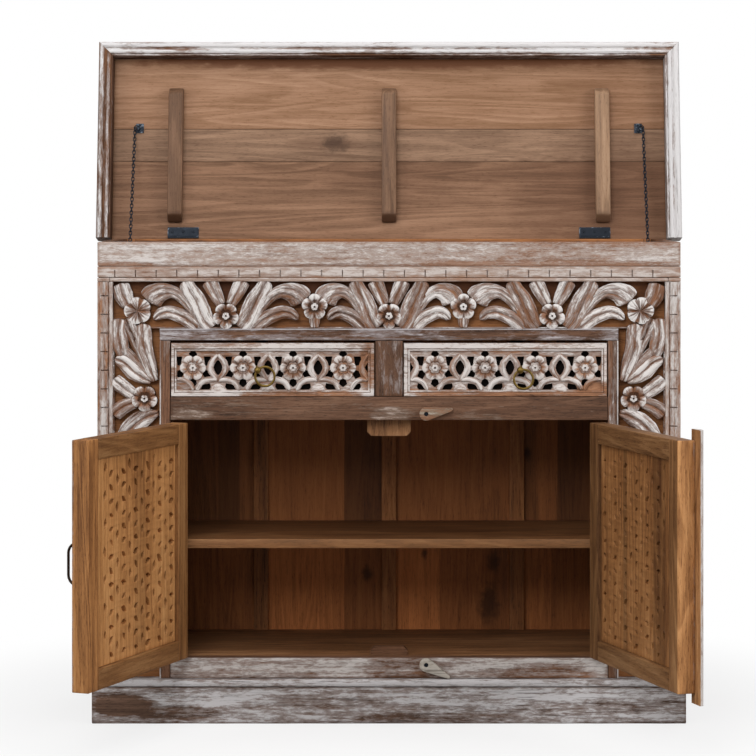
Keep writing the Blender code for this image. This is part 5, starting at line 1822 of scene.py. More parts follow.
    def stroke(self, solid: Solid, middle: float, way: int, spine: Sequence[Flat], widths: Sequence[float],
               flip: bool = True) -> None:
        """Carve one ridged stroke beside a middle line, mirrored where way is -1.

        Args:
            solid: The piece that is being carved.
            middle: The middle line.
            way: The side of that line.
            spine: The stroke's own line, in millimetres.
            widths: Its widths, in millimetres.
            flip: Whether the line turns with the side.
        """
        turn = way if flip else 1
        line = [(self.sign * (middle + turn * across / 1000), self.flower_z + up / 1000) for across,
                up in spine]
        solid.leaf(line, [width / 1000 for width in widths], self.y[0] + 0.0006, self.y[0] + 0.01, 1,
                   0.0042, steps=18)

    def pull(self) -> None:
        """Build the ball stud on its rose, and the ring that hangs in it."""
        x, y, z = self.spans("ring_stud_" + self.side)
        ball = 0.0068
        reach = y[0] + ball
        stud = Solid()
        for start, end, radius, sides, tip in (
                (y[1], y[1] - 0.0012, 0.008, 32, None), (y[1] - 0.0012, y[1] - 0.004, 0.0074, 32, 0.004),
                (y[1] - 0.003, reach, 0.0034, 20, None)):
            stud.rod((mid(x), start, mid(z)), (mid(x), end, mid(z)), radius, sides, tip)
        stud.ball((mid(x), reach, mid(z)), (ball, ball, ball), 28)
        self.add(stud, "ring_stud_brass_" + self.side, BRASS, "antique_brass", "ring_stud_" + self.side)
        x, y, z = self.spans("ring_pull_" + self.side)
        bar = (y[1] - y[0]) / 2
        upright = Matrix.Translation((mid(x), mid(y), mid(z))) @ Matrix.Rotation(math.pi / 2, 4, "X")
        ring = Solid()
        ring.torus(upright, (x[1] - x[0]) / 2 - bar, bar, 56, 14)
        ring.finish("ring_brass_" + self.side, "ring_" + self.side, BRASS, "antique_brass",
                    ["ring_pull_" + self.side])


@dataclass
class Door(Assembly):
    """A pierced door, built shut about its pin and stood open."""

    side: str
    sign: int
    pitch: float = 0.0505
    first: Flat = (0.034, 0.1945)
    petals: int = 6
    petal: Flat = (0.0205, 0.0115)
    narrow: float = 0.8
    draws: ClassVar[tuple[Point, ...]] = ((9.3, -1.5, -8.0), (0.0, 0.0, 0.0), (6.3, 0.2, -2.7))
    corners: tuple[Flat, ...] = (
        (-1.0, -0.1), (-0.45, 0.85), (0.05, 1.15), (0.55, 0.75), (1.0, 0.1), (0.6, -0.45), (0.1, -0.72),
        (-0.5, -0.55))

    def build(self) -> None:
        """Build the door's frame, panel and metalwork."""
        self.place, self.origin, self.turn = self.bench.shut("door_%s_hinge" % self.side)
        self.body = "door_" + self.side
        self.way = 1 if self.side == "left" else -1
        self.frame()
        self.panel()
        self.hinges()
        self.handle()

    def across(self, near: float, far: float) -> Span:
        """Give a reach from the pin towards the free edge."""
        return (near, far) if self.side == "left" else (-far, -near)

    def finish(self, name: str, grain: Grain, shift: float, timber: Timber, outside: float, boards: Boards
               | None = None, marks: tuple = ()) -> Wash:
        """Make a finish that is washed outside and oiled inside."""
        return Wash("%s_%s" % (name, self.side), timber, self.lay(grain, shift), cover=0.56, arris=0.4,
                    relief=0.5, faces=((FORWARD, outside),), boards=boards, marks=marks)

    def frame(self) -> None:
        """Build the stiles and rails."""
        node = "door_frame_" + self.side
        _, y, z = self.spans(node)
        y = (0.0035, y[1])
        timber = FRAME_LEFT if self.side == "left" else FRAME_RIGHT
        stiles, rails = Solid(), Solid()
        for near, far in ((0.00175, 0.0417), (0.3778, 0.41775)):
            stiles.board(self.across(near, far), y, z, 0.0018, 0.0005)
        for low, high in ((z[0], z[0] + 0.0379), (z[1] - 0.0379, z[1])):
            rails.board(self.across(0.0419, 0.3776), y, (low, high), 0.0014, 0.0004)
        upright = self.finish(
            "door_stile", Grain.ALONG_Z, 2.0 + self.sign, timber, -0.006, STILE_BOARDS_AND_LIGHT[self.side])
        level = self.finish(
            "door_rail", Grain.ALONG_X, 5.0 + self.sign, timber, -0.006, RAIL_BOARDS[self.side])
        self.add(stiles, "door_stiles_" + self.side, upright, "orange_wood", node)
        self.add(rails, "door_rails_" + self.side, level, "orange_wood", node)

    def panel(self) -> None:
        """Build the pierced panel with its carved flowers outside."""
        node = "door_panel_" + self.side
        x, y, z = self.spans(node)
        y = (0.0115, y[1])
        floor = -self.place.translation.z
        places = []
        for column in range(7):
            rise = self.pitch / 2 if column % 2 else 0.0
            places += [(self.way * (self.first[0] + column * self.pitch),
                        floor + self.first[1] + rise + (row - 1) * self.pitch) for row in range(9)]
        solid = Solid()
        outline = ((x[0], z[0]), (x[1], z[0]), (x[1], z[1]), (x[0], z[1]))
        solid.plate(outline, self.petal_holes(places, x, z), y, paint=0.3)
        edge = 0.022
        for place in places:
            if x[0] + edge < place[0] < x[1] - edge and z[0] + edge < place[1] < z[1] - edge:
                solid.flower(place, 0.0215, self.petals, 0.0062, y[0] + 0.0006, math.pi / 6, relief=0.0042,
                             notch=0.52)
        timber = PANEL_LEFT if self.side == "left" else PANEL_RIGHT
        finish = self.finish(
            "door_panel", Grain.ALONG_Z, 7.0 + self.sign, timber, -0.0135, DOOR_BOARDS[self.side])
        self.add(solid, "door_fretwork_" + self.side, finish, "orange_wood", node)

    def petal_holes(self, places: Sequence[Flat], x: Span, z: Span) -> list[list[Flat]]:
        """Give the pointed hole halfway between each two neighbouring flowers.

        Args:
            places: The flowers' middles.
            x: The panel's reach along X.
            z: Its reach along Z.

        Returns:
            The holes' outlines.
        """
        made = []
        for index, place in enumerate(places):
            for other in places[index + 1:]:
                gap = Vector(other) - Vector(place)
                if gap.length > self.pitch * 1.2:
                    continue
                middle = Vector(place) + gap / 2
                if not (x[0] + 0.011 < middle.x < x[1] - 0.011 and z[0] + 0.011 < middle.y < z[1] - 0.011):
                    continue
                spot = Vector((middle.x * 210.0, middle.y * 210.0, self.sign * 7.0))
                chance = Vector(noise.noise(spot + Vector(one)) for one in self.draws)
                size = (0.5 if self.side == "left" else 0.5 * self.narrow) * (1.0 + 0.42 * chance.x)
                gap = Matrix.Rotation(0.9 * chance.y, 2) @ gap
                middle = middle + chance.xy * 0.0016
                flip = 1 if chance.z > 0 else -1
                along, aside = gap.normalized() * size, Vector((-gap.y, gap.x)).normalized() * size
                made.append([tuple(middle + along * self.petal[0] * out + aside * self.petal[1] * wide
                                   * flip) for out, wide in self.corners[::flip]])
        return made

    def hinges(self) -> None:
        """Build the leaves and the middle knuckles that are the door's."""
        solid = Solid()
        for case_hinge in ("lower", "upper"):
            z = self.spans("door_hinge_%s_%s" % (self.side, case_hinge))[2]
            middle, third = mid(z), (z[1] - z[0]) / 6
            solid.board(self.across(0.0005, 0.0016), (0.0037, 0.03), z, 0.0003)
            solid.rod((0.0, 0.0, middle - third + 0.0003), (0.0, 0.0, middle + third - 0.0003), 0.0029, 20)
            for step in (-0.36, 0.0, 0.36):
                solid.screw((self.way * 0.0013, 0.0205 - 0.006 * abs(step), middle + step * (z[1] - z[0])),
                            (-self.way, 0.0, 0.0), 0.0026)
        self.add(solid, "door_hinge_leaves_" + self.side, IRON, "black_iron", "door_frame_" + self.side)

    def handle(self) -> None:
        """Build the bow handle with its two feet."""
        node = "door_handle_" + self.side
        x, y, z = self.spans(node)
        middle, bar = mid(x), (x[1] - x[0]) / 2
        foot, reach, bend = y[1], y[0] + bar, 0.019
        low, high = z[0] + bar, z[1] - bar
        points = []
        for end, way in ((low, 1), (high, -1)):
            for step in range(7)[::way]:
                angle = step * math.pi / 12
                points.append((middle, reach + (foot - reach) * (1 - math.sin(angle)),
                               end + way * bend * (1 - math.cos(angle))))
        radii = [bar * (0.9 + 0.1 * math.sin(math.pi * index / (len(points) - 1)))
                 for index in range(len(points))]
        solid = Solid()
        solid.tube(points, radii)
        for end in (low, high):
            solid.rod((middle, foot, end), (middle, foot - 0.0018, end), 0.0052, 20, 0.0044)
        self.add(solid, "door_bow_" + self.side, BRONZE, "dark_bronze", node)


@dataclass
class Astragal(Assembly):
    """The half-round strip on the right-hand door that covers the gap between the doors."""

    body: ClassVar[str] = "door_right"

    def build(self) -> None:
        """Build the strip."""
        self.place, self.origin, self.turn = self.bench.shut("door_right_hinge")
        x, y, z = self.spans("astragal")
        wide, thick = x[1] - x[0], y[1] - y[0]
        arc = [(wide / 2 - math.cos(step * math.pi / 12) * wide / 2,
                0.0016 + math.sin(step * math.pi / 12) ** 0.8 * (thick - 0.0016)) for step in range(13)]
        profile = [(0.0, 0.0), *arc, (wide, 0.0)]
        paints = [0.2, *(0.2 + 0.7 * math.sin(step * math.pi / 12) for step in range(13)), 0.2]
        solid = Solid()
        solid.moulding(
            profile, (x[0], y[1], z[0]), (x[0], y[1], z[1]), RIGHT, FORWARD, cuts=20, paints=paints)
        finish = Wash("astragal_wash", FRAME_RIGHT, self.lay(Grain.ALONG_Z, 9.0), cover=0.84, arris=0.0,
                      faces=((FORWARD, -y[1] + 0.002),))
        self.add(solid, "astragal_strip", finish, "whitewash", "astragal")


@dataclass
class Lid(Assembly):
    """The lid, built shut about its pin and stood open, with its hinges and stay chains."""

    body: ClassVar[str] = "lid"
    seams: tuple[float, float] = (-0.2275, -0.159)
    eye: Point = (0.5245, 0.09, 0.893)
    hook: Point = (0.5245, -0.229, -0.006)
    link: Flat = (0.0028, 0.00105)
    link_stretch: float = 1.75
    # How much paint each rim keeps: the right rim's larger share is partly a painted highlight where the
    # light comes from, and the left rim's smaller one partly painted shade.
    worn: ClassVar[dict[str, float]] = {"front": 0.76, "left": 0.4, "right": 1.02}

    def build(self) -> None:
        """Build the lid's boards, rims, battens, hinges and chains."""
        self.place, self.origin, self.turn = self.bench.shut("lid_hinge")
        self.boards()
        self.rims()
        self.battens()
        self.hinges()
        for side, sign in SIDES:
            self.hook_plate(side, sign)
            self.eye_plate(side, sign)
            self.chain(side, sign)

    def boards(self) -> None:
        """Build the three boards, oiled beneath and washed on top."""
        x, y, z = self.spans("lid_panel")
        edges = (y[0], *self.seams, y[1])
        knots = ((-0.112, -0.198, z[0], 0.017),)
        stains_and_shade = (
            # The first is painted shadow along the front edge, under the rim.
            ((0.0, y[0] + 0.001, z[0]), (0.7, 0.025, 0.05), 1.0),
            ((0.54, -0.15, z[0]), (0.24, 0.4, 0.1), 0.22), ((0.46, -0.08, z[0]), (0.3, 0.13, 0.1), 0.34),
            ((0.02, -0.13, z[0]), (0.22, 0.05, 0.1), 0.22),
            ((-0.14, -0.198, z[0]), (0.09, 0.018, 0.05), 0.3),
            ((-0.54, -0.1, z[0]), (0.12, 0.3, 0.1), 0.16))
        timbers = (hardwood(0x845F42, 0x9F785C, 0xB68F72, 0.8), hardwood(0x6C503C, 0x917159, 0xAC896E, 0.6),
                   hardwood(0x6A4B35, 0x8A664D, 0xA27C61, 0.9))
        for index, (low, high, timber) in enumerate(zip(edges, edges[1:], timbers)):
            solid = Solid()
            solid.board(x, (low + 0.0003 * bool(index), high - 0.0003 * (index < 2)), z, 0.0009, 0.0002)
            name = ("front", "middle", "rear")[index]
            finish = Wash("lid_board_" + name, timber, self.lay(Grain.ALONG_X, 1.7 * index + 0.4),
                          cover=0.55, arris=0.3, faces=((UP, 0.0212),), knots=knots, stains_and_shade=stains_and_shade)
            self.add(solid, "lid_board_" + name, finish, "brown_wood", "lid_panel")

    def rims(self) -> None:
        """Build the mitred rim round the boards."""
        _, front, deep = self.spans("lid_rim_front")
        wide, tall = front[1] - front[0], deep[1] - deep[0]
        profile = (
            (0.0008, 0.0), (0.0, 0.0008), (0.0, tall - 0.0052), (0.001, tall - 0.004),
            (0.0034, tall - 0.0036), (0.0046, tall - 0.0046), (0.0054, tall - 0.002),
            (0.0076, tall - 0.0004), (0.01, tall), (0.012, tall - 0.0006), (0.0132, tall - 0.0026),
            (0.0146, tall - 0.004), (0.0165, tall - 0.004), (0.018, tall - 0.0026), (0.019, tall - 0.0008),
            (0.0212, tall - 0.0001), (0.024, tall), (0.0268, tall - 0.0008), (wide - 0.0012, tall - 0.003),
            (wide, tall - 0.006), (wide, 0.003), (wide - 0.003, 0.0))
        # The rim's inner wall holds no paint, so the washed finish darkens it as painted shade.
        paints = (0.5, 0.0, 0.0, 0.05, 0.25, 0.1, 0.45, 0.8, 0.85, 0.75, 0.45, 0.3, 0.35, 0.5, 0.75, 0.95,
                  1.0, 0.85, 0.6, 0.5, 0.6, 0.6)
        half = self.spans("lid_panel")[0][1]
        rear = self.spans("lid_rim_left")[1][1]
        inner, top = front[1], deep[1]
        runs = [("front", Vector((-half, inner, top)), Vector((half, inner, top)), FORWARD, (1, 1))]
        for side, sign in SIDES:
            runs.append((side, Vector((sign * half, rear, top)), Vector((sign * half, inner, top)),
                         (sign, 0.0, 0.0), (0, 1)))
        for name, start, end, out, mitres in runs:
            solid = Solid()
            verts = solid.moulding(
                profile, start, end, out, DOWN, mitres, 40 if name == "front" else 14, paints)
            solid.ripple(verts, 0.0005, 40.0)
            grain = Grain.ALONG_X if name == "front" else Grain.ALONG_Y
            marks = RIM_MARKS if name == "front" else ()
            finish = Wash(
                "lid_rim_wash_" + name, RIM_WOOD, self.lay(grain, 3.3), cover=self.worn[name], arris=0.0,
                patch=1.1, relief=0.62, streak=0.9, marks=marks, white=srgb(0xDAD8D8), grey=srgb(0xA89C97))
            self.add(solid, "lid_moulding_" + name, finish, "whitewash", "lid_rim_" + name)

    def battens(self) -> None:
        """Build the battens across the boards."""
        tones = {"left": hardwood(0x422B1C, 0x6A4D38, 0x886750, 0.7),
                 "middle": hardwood(0x483020, 0x7A5A42, 0x9C7A62, 0.7),
                 "right": hardwood(0x604430, 0x98765A, 0xB6967A, 0.7)}
        for name, timber in tones.items():
            node = "lid_batten_" + name
            x, y, z = self.spans(node)
            tall, long = z[1] - z[0], y[1] - y[0]
            cut = 0.014
            profile = ((0.0, 0.0), (0.0, tall - cut), (cut, tall), (long - cut, tall), (long, tall - cut),
                       (long, 0.0))
            solid = Solid()
            verts = solid.moulding(profile, (x[0], y[1], z[1]), (x[1], y[1], z[1]), FORWARD, DOWN)
            solid.soften(verts, 0.003)
            # Darker ends of each batten: painted shade.
            dark = (((sum(x) / 2, y[1], z[0] + 0.008), (0.03, 0.024, 0.04), 1.0),
                    ((sum(x) / 2, y[0], z[0] + 0.008), (0.03, 0.01, 0.04), 0.45))
            finish = Bare(
                node + "_oil", timber, self.lay(Grain.ALONG_Y, 2.3 + len(name)), stains_and_shade=dark, gloss=0.5)
            self.add(solid, node + "_wood", finish, "brown_wood", node)

    def hinges(self) -> None:
        """Build the hinge leaves with their screws and knuckles."""
        for side, sign in SIDES:
            node = "lid_hinge_" + side
            x, y, z = self.spans(node)
            solid = Solid()
            solid.board(x, (y[0], -0.001), (0.0005, 0.0017), 0.0003)
            count, long = 5, x[1] - x[0]
            for index in range(count):
                low = x[0] + long * index / count
                solid.rod((low + 0.0002, 0.0, 0.0), (low + long / count - 0.0002, 0.0, 0.0), 0.0017, 16)
            for step in (-0.34, 0.0, 0.34):
                solid.screw((mid(x) + step * long, y[0] * 0.6 + 0.003 * abs(step), 0.0005), DOWN, 0.0027)
            self.add(solid, "lid_hinge_leaf_" + side, IRON, "black_iron", node)

    def hook_plate(self, side: str, sign: int) -> None:
        """Build the plate and loop that hold a chain on the lid.

        Args:
            side: The side.
            sign: -1 on the left and 1 on the right.
        """
        x, y = sign * (self.hook[0] - 0.0095), self.hook[1]
        solid = Solid()
        solid.board((x - 0.008, x + 0.008), (y - 0.01, y + 0.01), (0.0004, 0.0017), 0.0004)
        for step in (-1, 1):
            solid.screw((x, y + step * 0.0068, 0.0004), DOWN, 0.0022)
        solid.rod((x, y, 0.0004), (x, y, -0.0036), 0.0016, 12)
        solid.torus(Matrix.Translation((x + sign * 0.0062, y, -0.003)), 0.0054, 0.001, 28, 10)
        self.add(solid, "lid_chain_plate_" + side, IRON, "black_iron")

    def eye_plate(self, side: str, sign: int) -> None:
        """Build the screw eye that holds a chain on the case.

        Args:
            side: The side.
            sign: -1 on the left and 1 on the right.
        """
        wall = sign * 0.5367
        x, y, z = sign * self.eye[0], self.eye[1], self.eye[2]
        solid = Solid()
        solid.rod((wall, y, z), (x + sign * 0.0036, y, z), 0.0011, 12)
        solid.rod((wall, y, z), (wall - sign * 0.001, y, z), 0.0042, 20)
        solid.torus(
            Matrix.Translation((x, y, z)) @ Matrix.Rotation(math.pi / 2, 4, "X"), 0.0034, 0.0009, 20, 8)
        solid.finish("chain_eye_" + side, "case", IRON, "black_iron")

    def chain(self, side: str, sign: int) -> None:
        """Build a stay chain link by link, and let it follow both the case and the lid.

        Args:
            side: The side.
            sign: -1 on the left and 1 on the right.
        """
        start = Vector((sign * self.eye[0], self.eye[1], self.eye[2]))
        end = self.place @ Vector((sign * self.hook[0], self.hook[1], self.hook[2]))
        radius, bar = self.link
        pitch = 2 * (radius * self.link_stretch - bar)
        way = end - start
        count = round(way.length / pitch)
        tilt = way.to_track_quat("X", "Z").to_matrix().to_4x4()
        solid = Solid()
        for index in range(count):
            spot = start + way * (index + 0.5) / count
            roll = Matrix.Rotation(math.pi / 2 * (index % 2) + 0.3, 4, "X")
            solid.torus(Matrix.Translation(spot) @ tilt @ roll, radius, bar, 12, 6, self.link_stretch)
        chain = solid.finish("stay_chain_" + side, "", IRON, "", ["lid_chain_" + side])
        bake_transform(chain, "case", "lid", start + way * 0.03, start + way * 0.6)


@dataclass
class Chest(Assembly):
    """The plinth, the sides, the back and everything inside the case."""

    def build(self) -> None:
        """Build or finish each part of the case."""
        self.plinth()
        self.sides()
        self.back()
        self.inside()
        self.latches()

    def plinth(self) -> None:
        """Build the front board with its worn bead, and finish the frame behind it."""
        x, y, z = self.spans("plinth_front")
        bead = z[1] - 0.014
        solid = Solid()
        solid.board(
            (x[0] + 0.003, x[1] - 0.003), (y[0] + 0.003, y[1]), (z[0], bead - 0.0006), 0.0022, 0.0009, 0.04)
        profile = ((0.0, 0.0), (0.0, 0.0325), (0.0006, 0.0338), (0.003, 0.035), (0.007, 0.035),
                   (0.0105, 0.0346), (0.0128, 0.0334), (0.014, 0.0312), (0.014, 0.0))
        verts = solid.moulding(
            profile, (x[0], y[1], bead), (x[1], y[1], bead), UP, FORWARD, cuts=60,
            paints=(0.2, 0.3, 0.7, 0.9, 0.9, 0.8, 0.5, 0.3, 0.2))
        solid.ripple(verts, 0.0007, 40.0)
        marks = (
            ((-0.515, -0.195, 0.034), (0.07, 0.2, 0.024), -0.75),
            ((-0.4, -0.195, 0.02), (0.1, 0.2, 0.016), -0.35),
            ((0.1, -0.195, 0.012), (0.2, 0.2, 0.01), -0.25),
            ((0.34, -0.195, 0.06), (0.16, 0.2, 0.016), 0.12))
        finish = Wash("plinth_wash", PLINTH_WOOD, Lay(shift=11.0), cover=0.7, patch=0.9, arris=0.35,
                      relief=0.3, white=srgb(0xCECBCC), grey=srgb(0x9E938F), marks=marks)
        self.add(solid, "plinth_board", finish, "whitewash", "plinth_front")
        self.plinth_frame(bead)

    def plinth_frame(self, bead: float) -> None:
        """Build the plinth's sides with their bead, its bearer and its back.

        Args:
            bead: The level where the bead starts.
        """
        node = "plinth_frame"
        x, y, z = self.spans(node)
        thick, proud, bearer = 0.035, 0.003, 0.04
        lengthways, across = Solid(), Solid()
        for sign in (-1, 1):
            for near, low, high in ((proud, z[0], bead - 0.0003), (0.0, bead, z[1])):
                spread = tuple(sorted((sign * (x[1] - near), sign * (x[1] - thick))))
                lengthways.board(spread, y, (low, high), 0.0022, 0.0005)
        lengthways.board((-bearer / 2, bearer / 2), (y[0], y[1] - thick - 0.0003), z)
        across.board((x[0] + thick + 0.0003, x[1] - thick - 0.0003), (y[1] - thick, y[1]), z)
        outside = ((RIGHT, 0.5695), ((-1.0, 0.0, 0.0), 0.5695))
        washed = Wash(
            "plinth_frame_wash", BROWN, Lay(Grain.ALONG_Y, shift=12.0), cover=0.5, arris=0.0, faces=outside)
        self.add(lengthways, "plinth_sides", washed, "whitewash", node)
        bare = Bare("plinth_back_wood", BROWN, Lay(shift=12.5))
        self.add(across, "plinth_back", bare, "whitewash", node)

    def sides(self) -> None:
        """Build the posts, rails and panel of each side."""
        for side, sign in SIDES:
            x, y, z = self.spans("side_frame_" + side)
            outside = (((sign, 0.0, 0.0), 0.559),)
            posts, rails = Solid(), Solid()
            for low, high in ((y[0], y[0] + 0.0398), (y[1] - 0.0398, y[1])):
                posts.board(x, (low, high), z, 0.0014, 0.0004)
            for low, high in ((z[0], z[0] + 0.0598), (z[1] - 0.0598, z[1])):
                rails.board(x, (y[0] + 0.04, y[1] - 0.04), (low, high), 0.0014, 0.0004)
            upright = Wash("post_wash_" + side, UNDER_DARK, Lay(Grain.ALONG_Z, shift=13.0 + sign),
                           cover=0.56, arris=0.4, faces=outside)
            level = Wash("side_rail_wash_" + side, UNDER_DARK, Lay(Grain.ALONG_Y, shift=14.0 + sign),
                         cover=0.56, arris=0.4, faces=outside)
            node = "side_frame_" + side
            self.add(posts, "side_posts_" + side, upright, "whitewash", node)
            self.add(rails, "side_rails_" + side, level, "whitewash", node)
            panel = Wash("side_panel_wash_" + side, UNDER_DARK, Lay(Grain.ALONG_Z, shift=15.0 + sign),
                         cover=0.54, arris=0.2, patch=1.1, faces=(((sign, 0.0, 0.0), 0.553),))
            self.bench.rework("side_panel_" + side, panel, "whitewash")

    def back(self) -> None:
        """Finish the back's frame and sheet."""
        node = "back_frame"
        x, y, z = self.spans(node)
        upright, level = Solid(), Solid()
        for middle in (-0.262, 0.0, 0.262):
            upright.board(
                (middle - 0.015, middle + 0.015), y, (z[0] + 0.0382, z[1] - 0.0602), 0.0012, 0.0003)
        for low, high in ((x[0], x[0] + 0.0158), (x[1] - 0.0158, x[1])):
            upright.board((low, high), y, z, 0.0012)
        for low, high in ((z[0], z[0] + 0.038), (z[1] - 0.06, z[1])):
            level.board((x[0] + 0.016, x[1] - 0.016), y, (low, high), 0.0012)
        frame = hardwood(0x482A17, 0x925C34, 0xB47A4A, 0.5)
        muntin = Bare("muntin_wood", frame, Lay(Grain.ALONG_Z, shift=1.1))
        rail = Bare("back_rail_wood", frame, Lay(shift=1.9))
        self.add(upright, "back_muntins", muntin, "brown_wood", node)
        self.add(level, "back_rails", rail, "brown_wood", node)
        sheet = hardwood(0x704324, 0x9A5F35, 0xAE7041, 0.5)
        knots = ((0.284, 0.178, 0.485, 0.008), (0.074, 0.178, 0.28, 0.007), (0.215, 0.178, 0.262, 0.012),
                 (0.205, 0.178, 0.175, 0.022), (-0.045, 0.178, 0.24, 0.01))
        self.bench.dress(
            Bare("back_boards", sheet, Lay(Grain.ALONG_Z, shift=2.0), knots, boards=BACK_BOARDS_AND_LIGHT),
            "brown_wood", "back_panel")

    def inside(self) -> None:
        """Finish the floors, the shelf and the other boards inside."""
        shelf = hardwood(0x4A2C18, 0x92623C, 0xB8885C, 0.7)
        x, y, z = self.spans("shelf")
        # Painted shade on the shelf's top, darker towards the back.
        shade = (((0.0, y[1], z[1]), (0.75, (y[1] - y[0]) * 1.6, 0.05), 0.4),)
        self.bench.rework(
            "shelf", Bare("shelf_wood", shelf, Lay(shift=4.0), stains_and_shade=shade), "brown_wood", 0.0004, 0.0018)
        floor = hardwood(0x3E2818, 0x845A3A, 0xA67A54, 0.6)
        self.bench.rework("cabinet_floor", Bare("floor_wood", floor, Lay(shift=5.0)), "brown_wood")
        inner = Bare("inner_wood", BROWN, Lay(shift=6.0))
        self.bench.dress(
            inner, "brown_wood", "compartment_floor", "drawer_deck", "drawer_box_left", "drawer_box_right")
        orange = hardwood(0x684023, 0x946139, 0xB07B4F, 0.1)
        x, y, z = self.spans("carving_backer")
        # Painted shadow along the top of the backing board, under the moulding.
        shade = (((0.0, y[0], z[1]), (0.8, 0.05, 0.055), 0.85),)
        self.bench.dress(
            Bare("backer_wood", orange, Lay(shift=8.0), stains_and_shade=shade), "brown_wood", "carving_backer")
        block = Bare(
            "block_wood", hardwood(0x543622, 0x966A46, 0xB68860, 0.5), Lay(Grain.ALONG_Z, shift=7.0))
        self.bench.dress(block, "brown_wood", "stop_block_top")
        sill = Bare("sill_block_wood", hardwood(0x3A2418, 0x6A4832, 0x8C664C, 0.5), Lay(shift=7.5))
        self.bench.dress(sill, "brown_wood", "stop_block_bottom")
        self.bench.dress(IRON, "black_iron", "door_hinge_left_lower", "door_hinge_left_upper",
                         "door_hinge_right_lower", "door_hinge_right_upper")

    def latches(self) -> None:
        """Build the two turn latches with their screws."""
        for name, lean, cover in (("top", 10.0, 0.34), ("bottom", -28.5, 0.86)):
            facts = self.bench.joints["latch_%s_turn" % name]
            place = Matrix.Translation(facts["pos_m"]) @ Matrix.Rotation(-math.radians(lean), 4, "Y")
            outline = [round_at(0.013, angle) for angle in range(78, 283, 12)]
            tip = [round_at(0.003, angle) for angle in (-78, -40, 0, 40, 78)]
            outline += [(0.049 + across, up) for across, up in tip]
            node = "turn_latch_" + name
            y = self.bench.spans(node, place)[1]
            bore = [round_at(0.0042, angle) for angle in range(0, 360, 20)]
            solid = Solid()
            solid.plate(outline, [bore], y, 0.0014)
            finish = Wash("latch_wash_" + name, UNDER, Lay(shift=16.0 + lean), cover=cover, arris=0.3,
                          white=srgb(0xC2BBB0), grey=srgb(0x928574))
            solid.finish("latch_wood_" + name, "latch_" + name, finish, "carving_wash", [node], place)
            screw = Solid()
            screw.rod((0.0, y[1] - 0.0004, 0.0), (0.0, y[0] + 0.003, 0.0), 0.0036, 20)
            screw.screw((0.0, y[0] + 0.0034, 0.0), FORWARD, 0.0034)
            screw.finish("latch_screw_" + name, "latch_" + name, IRON, "black_iron", (), place)


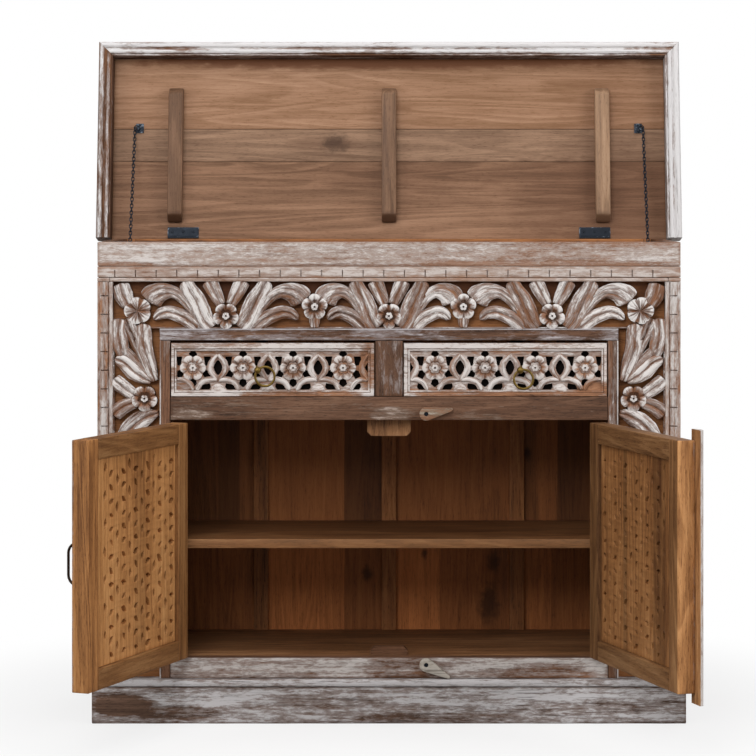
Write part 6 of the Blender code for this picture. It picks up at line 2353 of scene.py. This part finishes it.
@dataclass
class Studio:
    """The floor, the soft lights and the camera."""

    floor_reach: float = 14.0
    glow: float = 0.28
    lights: tuple[tuple[str, Point, float, float], ...] = (
        ("key", (-1.2, -4.2, 3.0), 2.4, 100.0), ("right", (3.3, -2.0, 1.7), 1.8, 62.0),
        ("left", (-3.2, -2.2, 1.7), 1.8, 32.0), ("top", (0.0, -0.6, 3.6), 2.4, 40.0),
        ("back", (1.6, 3.2, 2.4), 2.4, 30.0),)
    place: Point = (0.0, -5.568, 1.019)
    lens: float = 133.333
    shift: Flat = (-0.01455, -0.2447)

    def build(self) -> None:
        """Build the whole studio."""
        self.world()
        self.floor()
        for name, place, size, power in self.lights:
            self.light(name, place, size, power)
        self.camera()

    def world(self) -> None:
        """Make a soft pale surround that the camera and transmission rays see as white."""
        world = bpy.data.worlds.new("surround")
        bpy.context.scene.world = world
        world.use_nodes = True
        tree = world.node_tree
        tree.nodes.clear()
        path = tree.nodes.new("ShaderNodeLightPath")
        seen = tree.nodes.new("ShaderNodeMath")
        seen.operation = "MAXIMUM"
        blend = tree.nodes.new("ShaderNodeMixShader")
        output = tree.nodes.new("ShaderNodeOutputWorld")
        for place, strength in ((1, self.glow), (2, 1.0)):
            surround = tree.nodes.new("ShaderNodeBackground")
            surround.inputs["Color"].default_value = (1.0, 1.0, 1.0, 1.0)
            surround.inputs["Strength"].default_value = strength
            tree.links.new(surround.outputs[0], blend.inputs[place])
        for source, target in (
                (path.outputs["Is Camera Ray"], seen.inputs[0]),
                (path.outputs["Is Transmission Ray"], seen.inputs[1]), (seen.outputs[0], blend.inputs[0]),
                (blend.outputs[0], output.inputs["Surface"])):
            tree.links.new(source, target)

    def floor(self) -> None:
        """Lay a pale floor that keeps the cabinet's soft shadow and turns white further off."""
        solid = Solid()
        reach = self.floor_reach
        verts = bmesh.ops.create_grid(solid.mesh, x_segments=2, y_segments=2, size=reach)["verts"]
        bmesh.ops.translate(solid.mesh, verts=verts, vec=(0.0, 0.0, -0.0002))
        paint = Paint("studio_floor")
        coordinates = paint.node("ShaderNodeTexCoord", {}, {}, "Object")
        far = paint.node("ShaderNodeVectorMath", {"operation": "LENGTH"}, {0: coordinates}, "Value")
        path = paint.node("ShaderNodeLightPath", {}, {}, "Is Camera Ray")
        share = (far.step(0.6, 1.2) * 0.28 + 0.72) * path
        pale = paint.mix(path, (0.3, 0.29, 0.28), (0.85, 0.85, 0.85))
        cloth = paint.node("ShaderNodeBsdfDiffuse", {}, {"Color": pale}, "BSDF")
        glow = paint.node("ShaderNodeEmission", {}, {"Color": (1.0, 1.0, 1.0), "Strength": 1.0}, "Emission")
        blend = paint.node("ShaderNodeMixShader", {}, {0: share, 1: cloth, 2: glow}, "Shader")
        floor = solid.finish("studio_floor", "", paint.show(blend), "")
        floor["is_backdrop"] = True

    def light(self, name: str, place: Point, size: float, power: float) -> None:
        """Hang one soft square light that faces the cabinet.

        Args:
            name: Its name.
            place: Its place.
            size: Its width.
            power: Its power, in watts.
        """
        lamp = bpy.data.lights.new(name, "AREA")
        lamp.shape = "SQUARE"
        lamp.size = size
        lamp.energy = power
        holder = bpy.data.objects.new(name, lamp)
        bpy.context.scene.collection.objects.link(holder)
        holder.location = place
        way = Vector((0.0, 0.0, 0.55)) - Vector(place)
        holder.rotation_euler = way.to_track_quat("-Z", "Y").to_euler()
        holder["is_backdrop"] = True

    def camera(self) -> None:
        """Stand the camera straight before the cabinet."""
        data = bpy.data.cameras.new("camera")
        data.lens = self.lens
        data.sensor_width = 36.0
        data.shift_x, data.shift_y = self.shift
        data.clip_end = 60.0
        camera = bpy.data.objects.new("camera", data)
        bpy.context.scene.collection.objects.link(camera)
        camera.location = self.place
        camera.rotation_euler = (math.pi / 2, 0.0, 0.0)
        bpy.context.scene.camera = camera
        camera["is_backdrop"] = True


def write_sizes(loaded: object, finished: object) -> None:
    """Gather the cabinet's bounds at load and at the end as plain lists; nothing is kept or written.

    Args:
        loaded: The bounds at load.
        finished: The bounds at the end.
    """
    def plain(value: object) -> object:
        """Turn vectors into lists.

        Args:
            value: The value.

        Returns:
            The value, with a list for each vector.
        """
        if isinstance(value, dict):
            return {key: plain(one) for key, one in value.items()}
        if isinstance(value, (int, float, str)):
            return value
        return [plain(one) for one in value]

    {"loaded": plain(loaded), "finished": plain(finished)}


def main() -> None:
    """Build the whole scene."""
    logging.basicConfig(level=logging.INFO, format="%(message)s")
    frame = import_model()
    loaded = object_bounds()
    bpy.context.scene.view_settings.view_transform = "Standard"
    bench = Bench(frame)
    Front(bench).build()
    Carving(bench).build()
    for side, sign in SIDES:
        DrawerFront(bench, side, sign).build()
        Door(bench, side, sign).build()
    Astragal(bench).build()
    Lid(bench).build()
    Chest(bench).build()
    Studio().build()
    write_sizes(loaded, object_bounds())


if __name__ == "__main__":
    main()
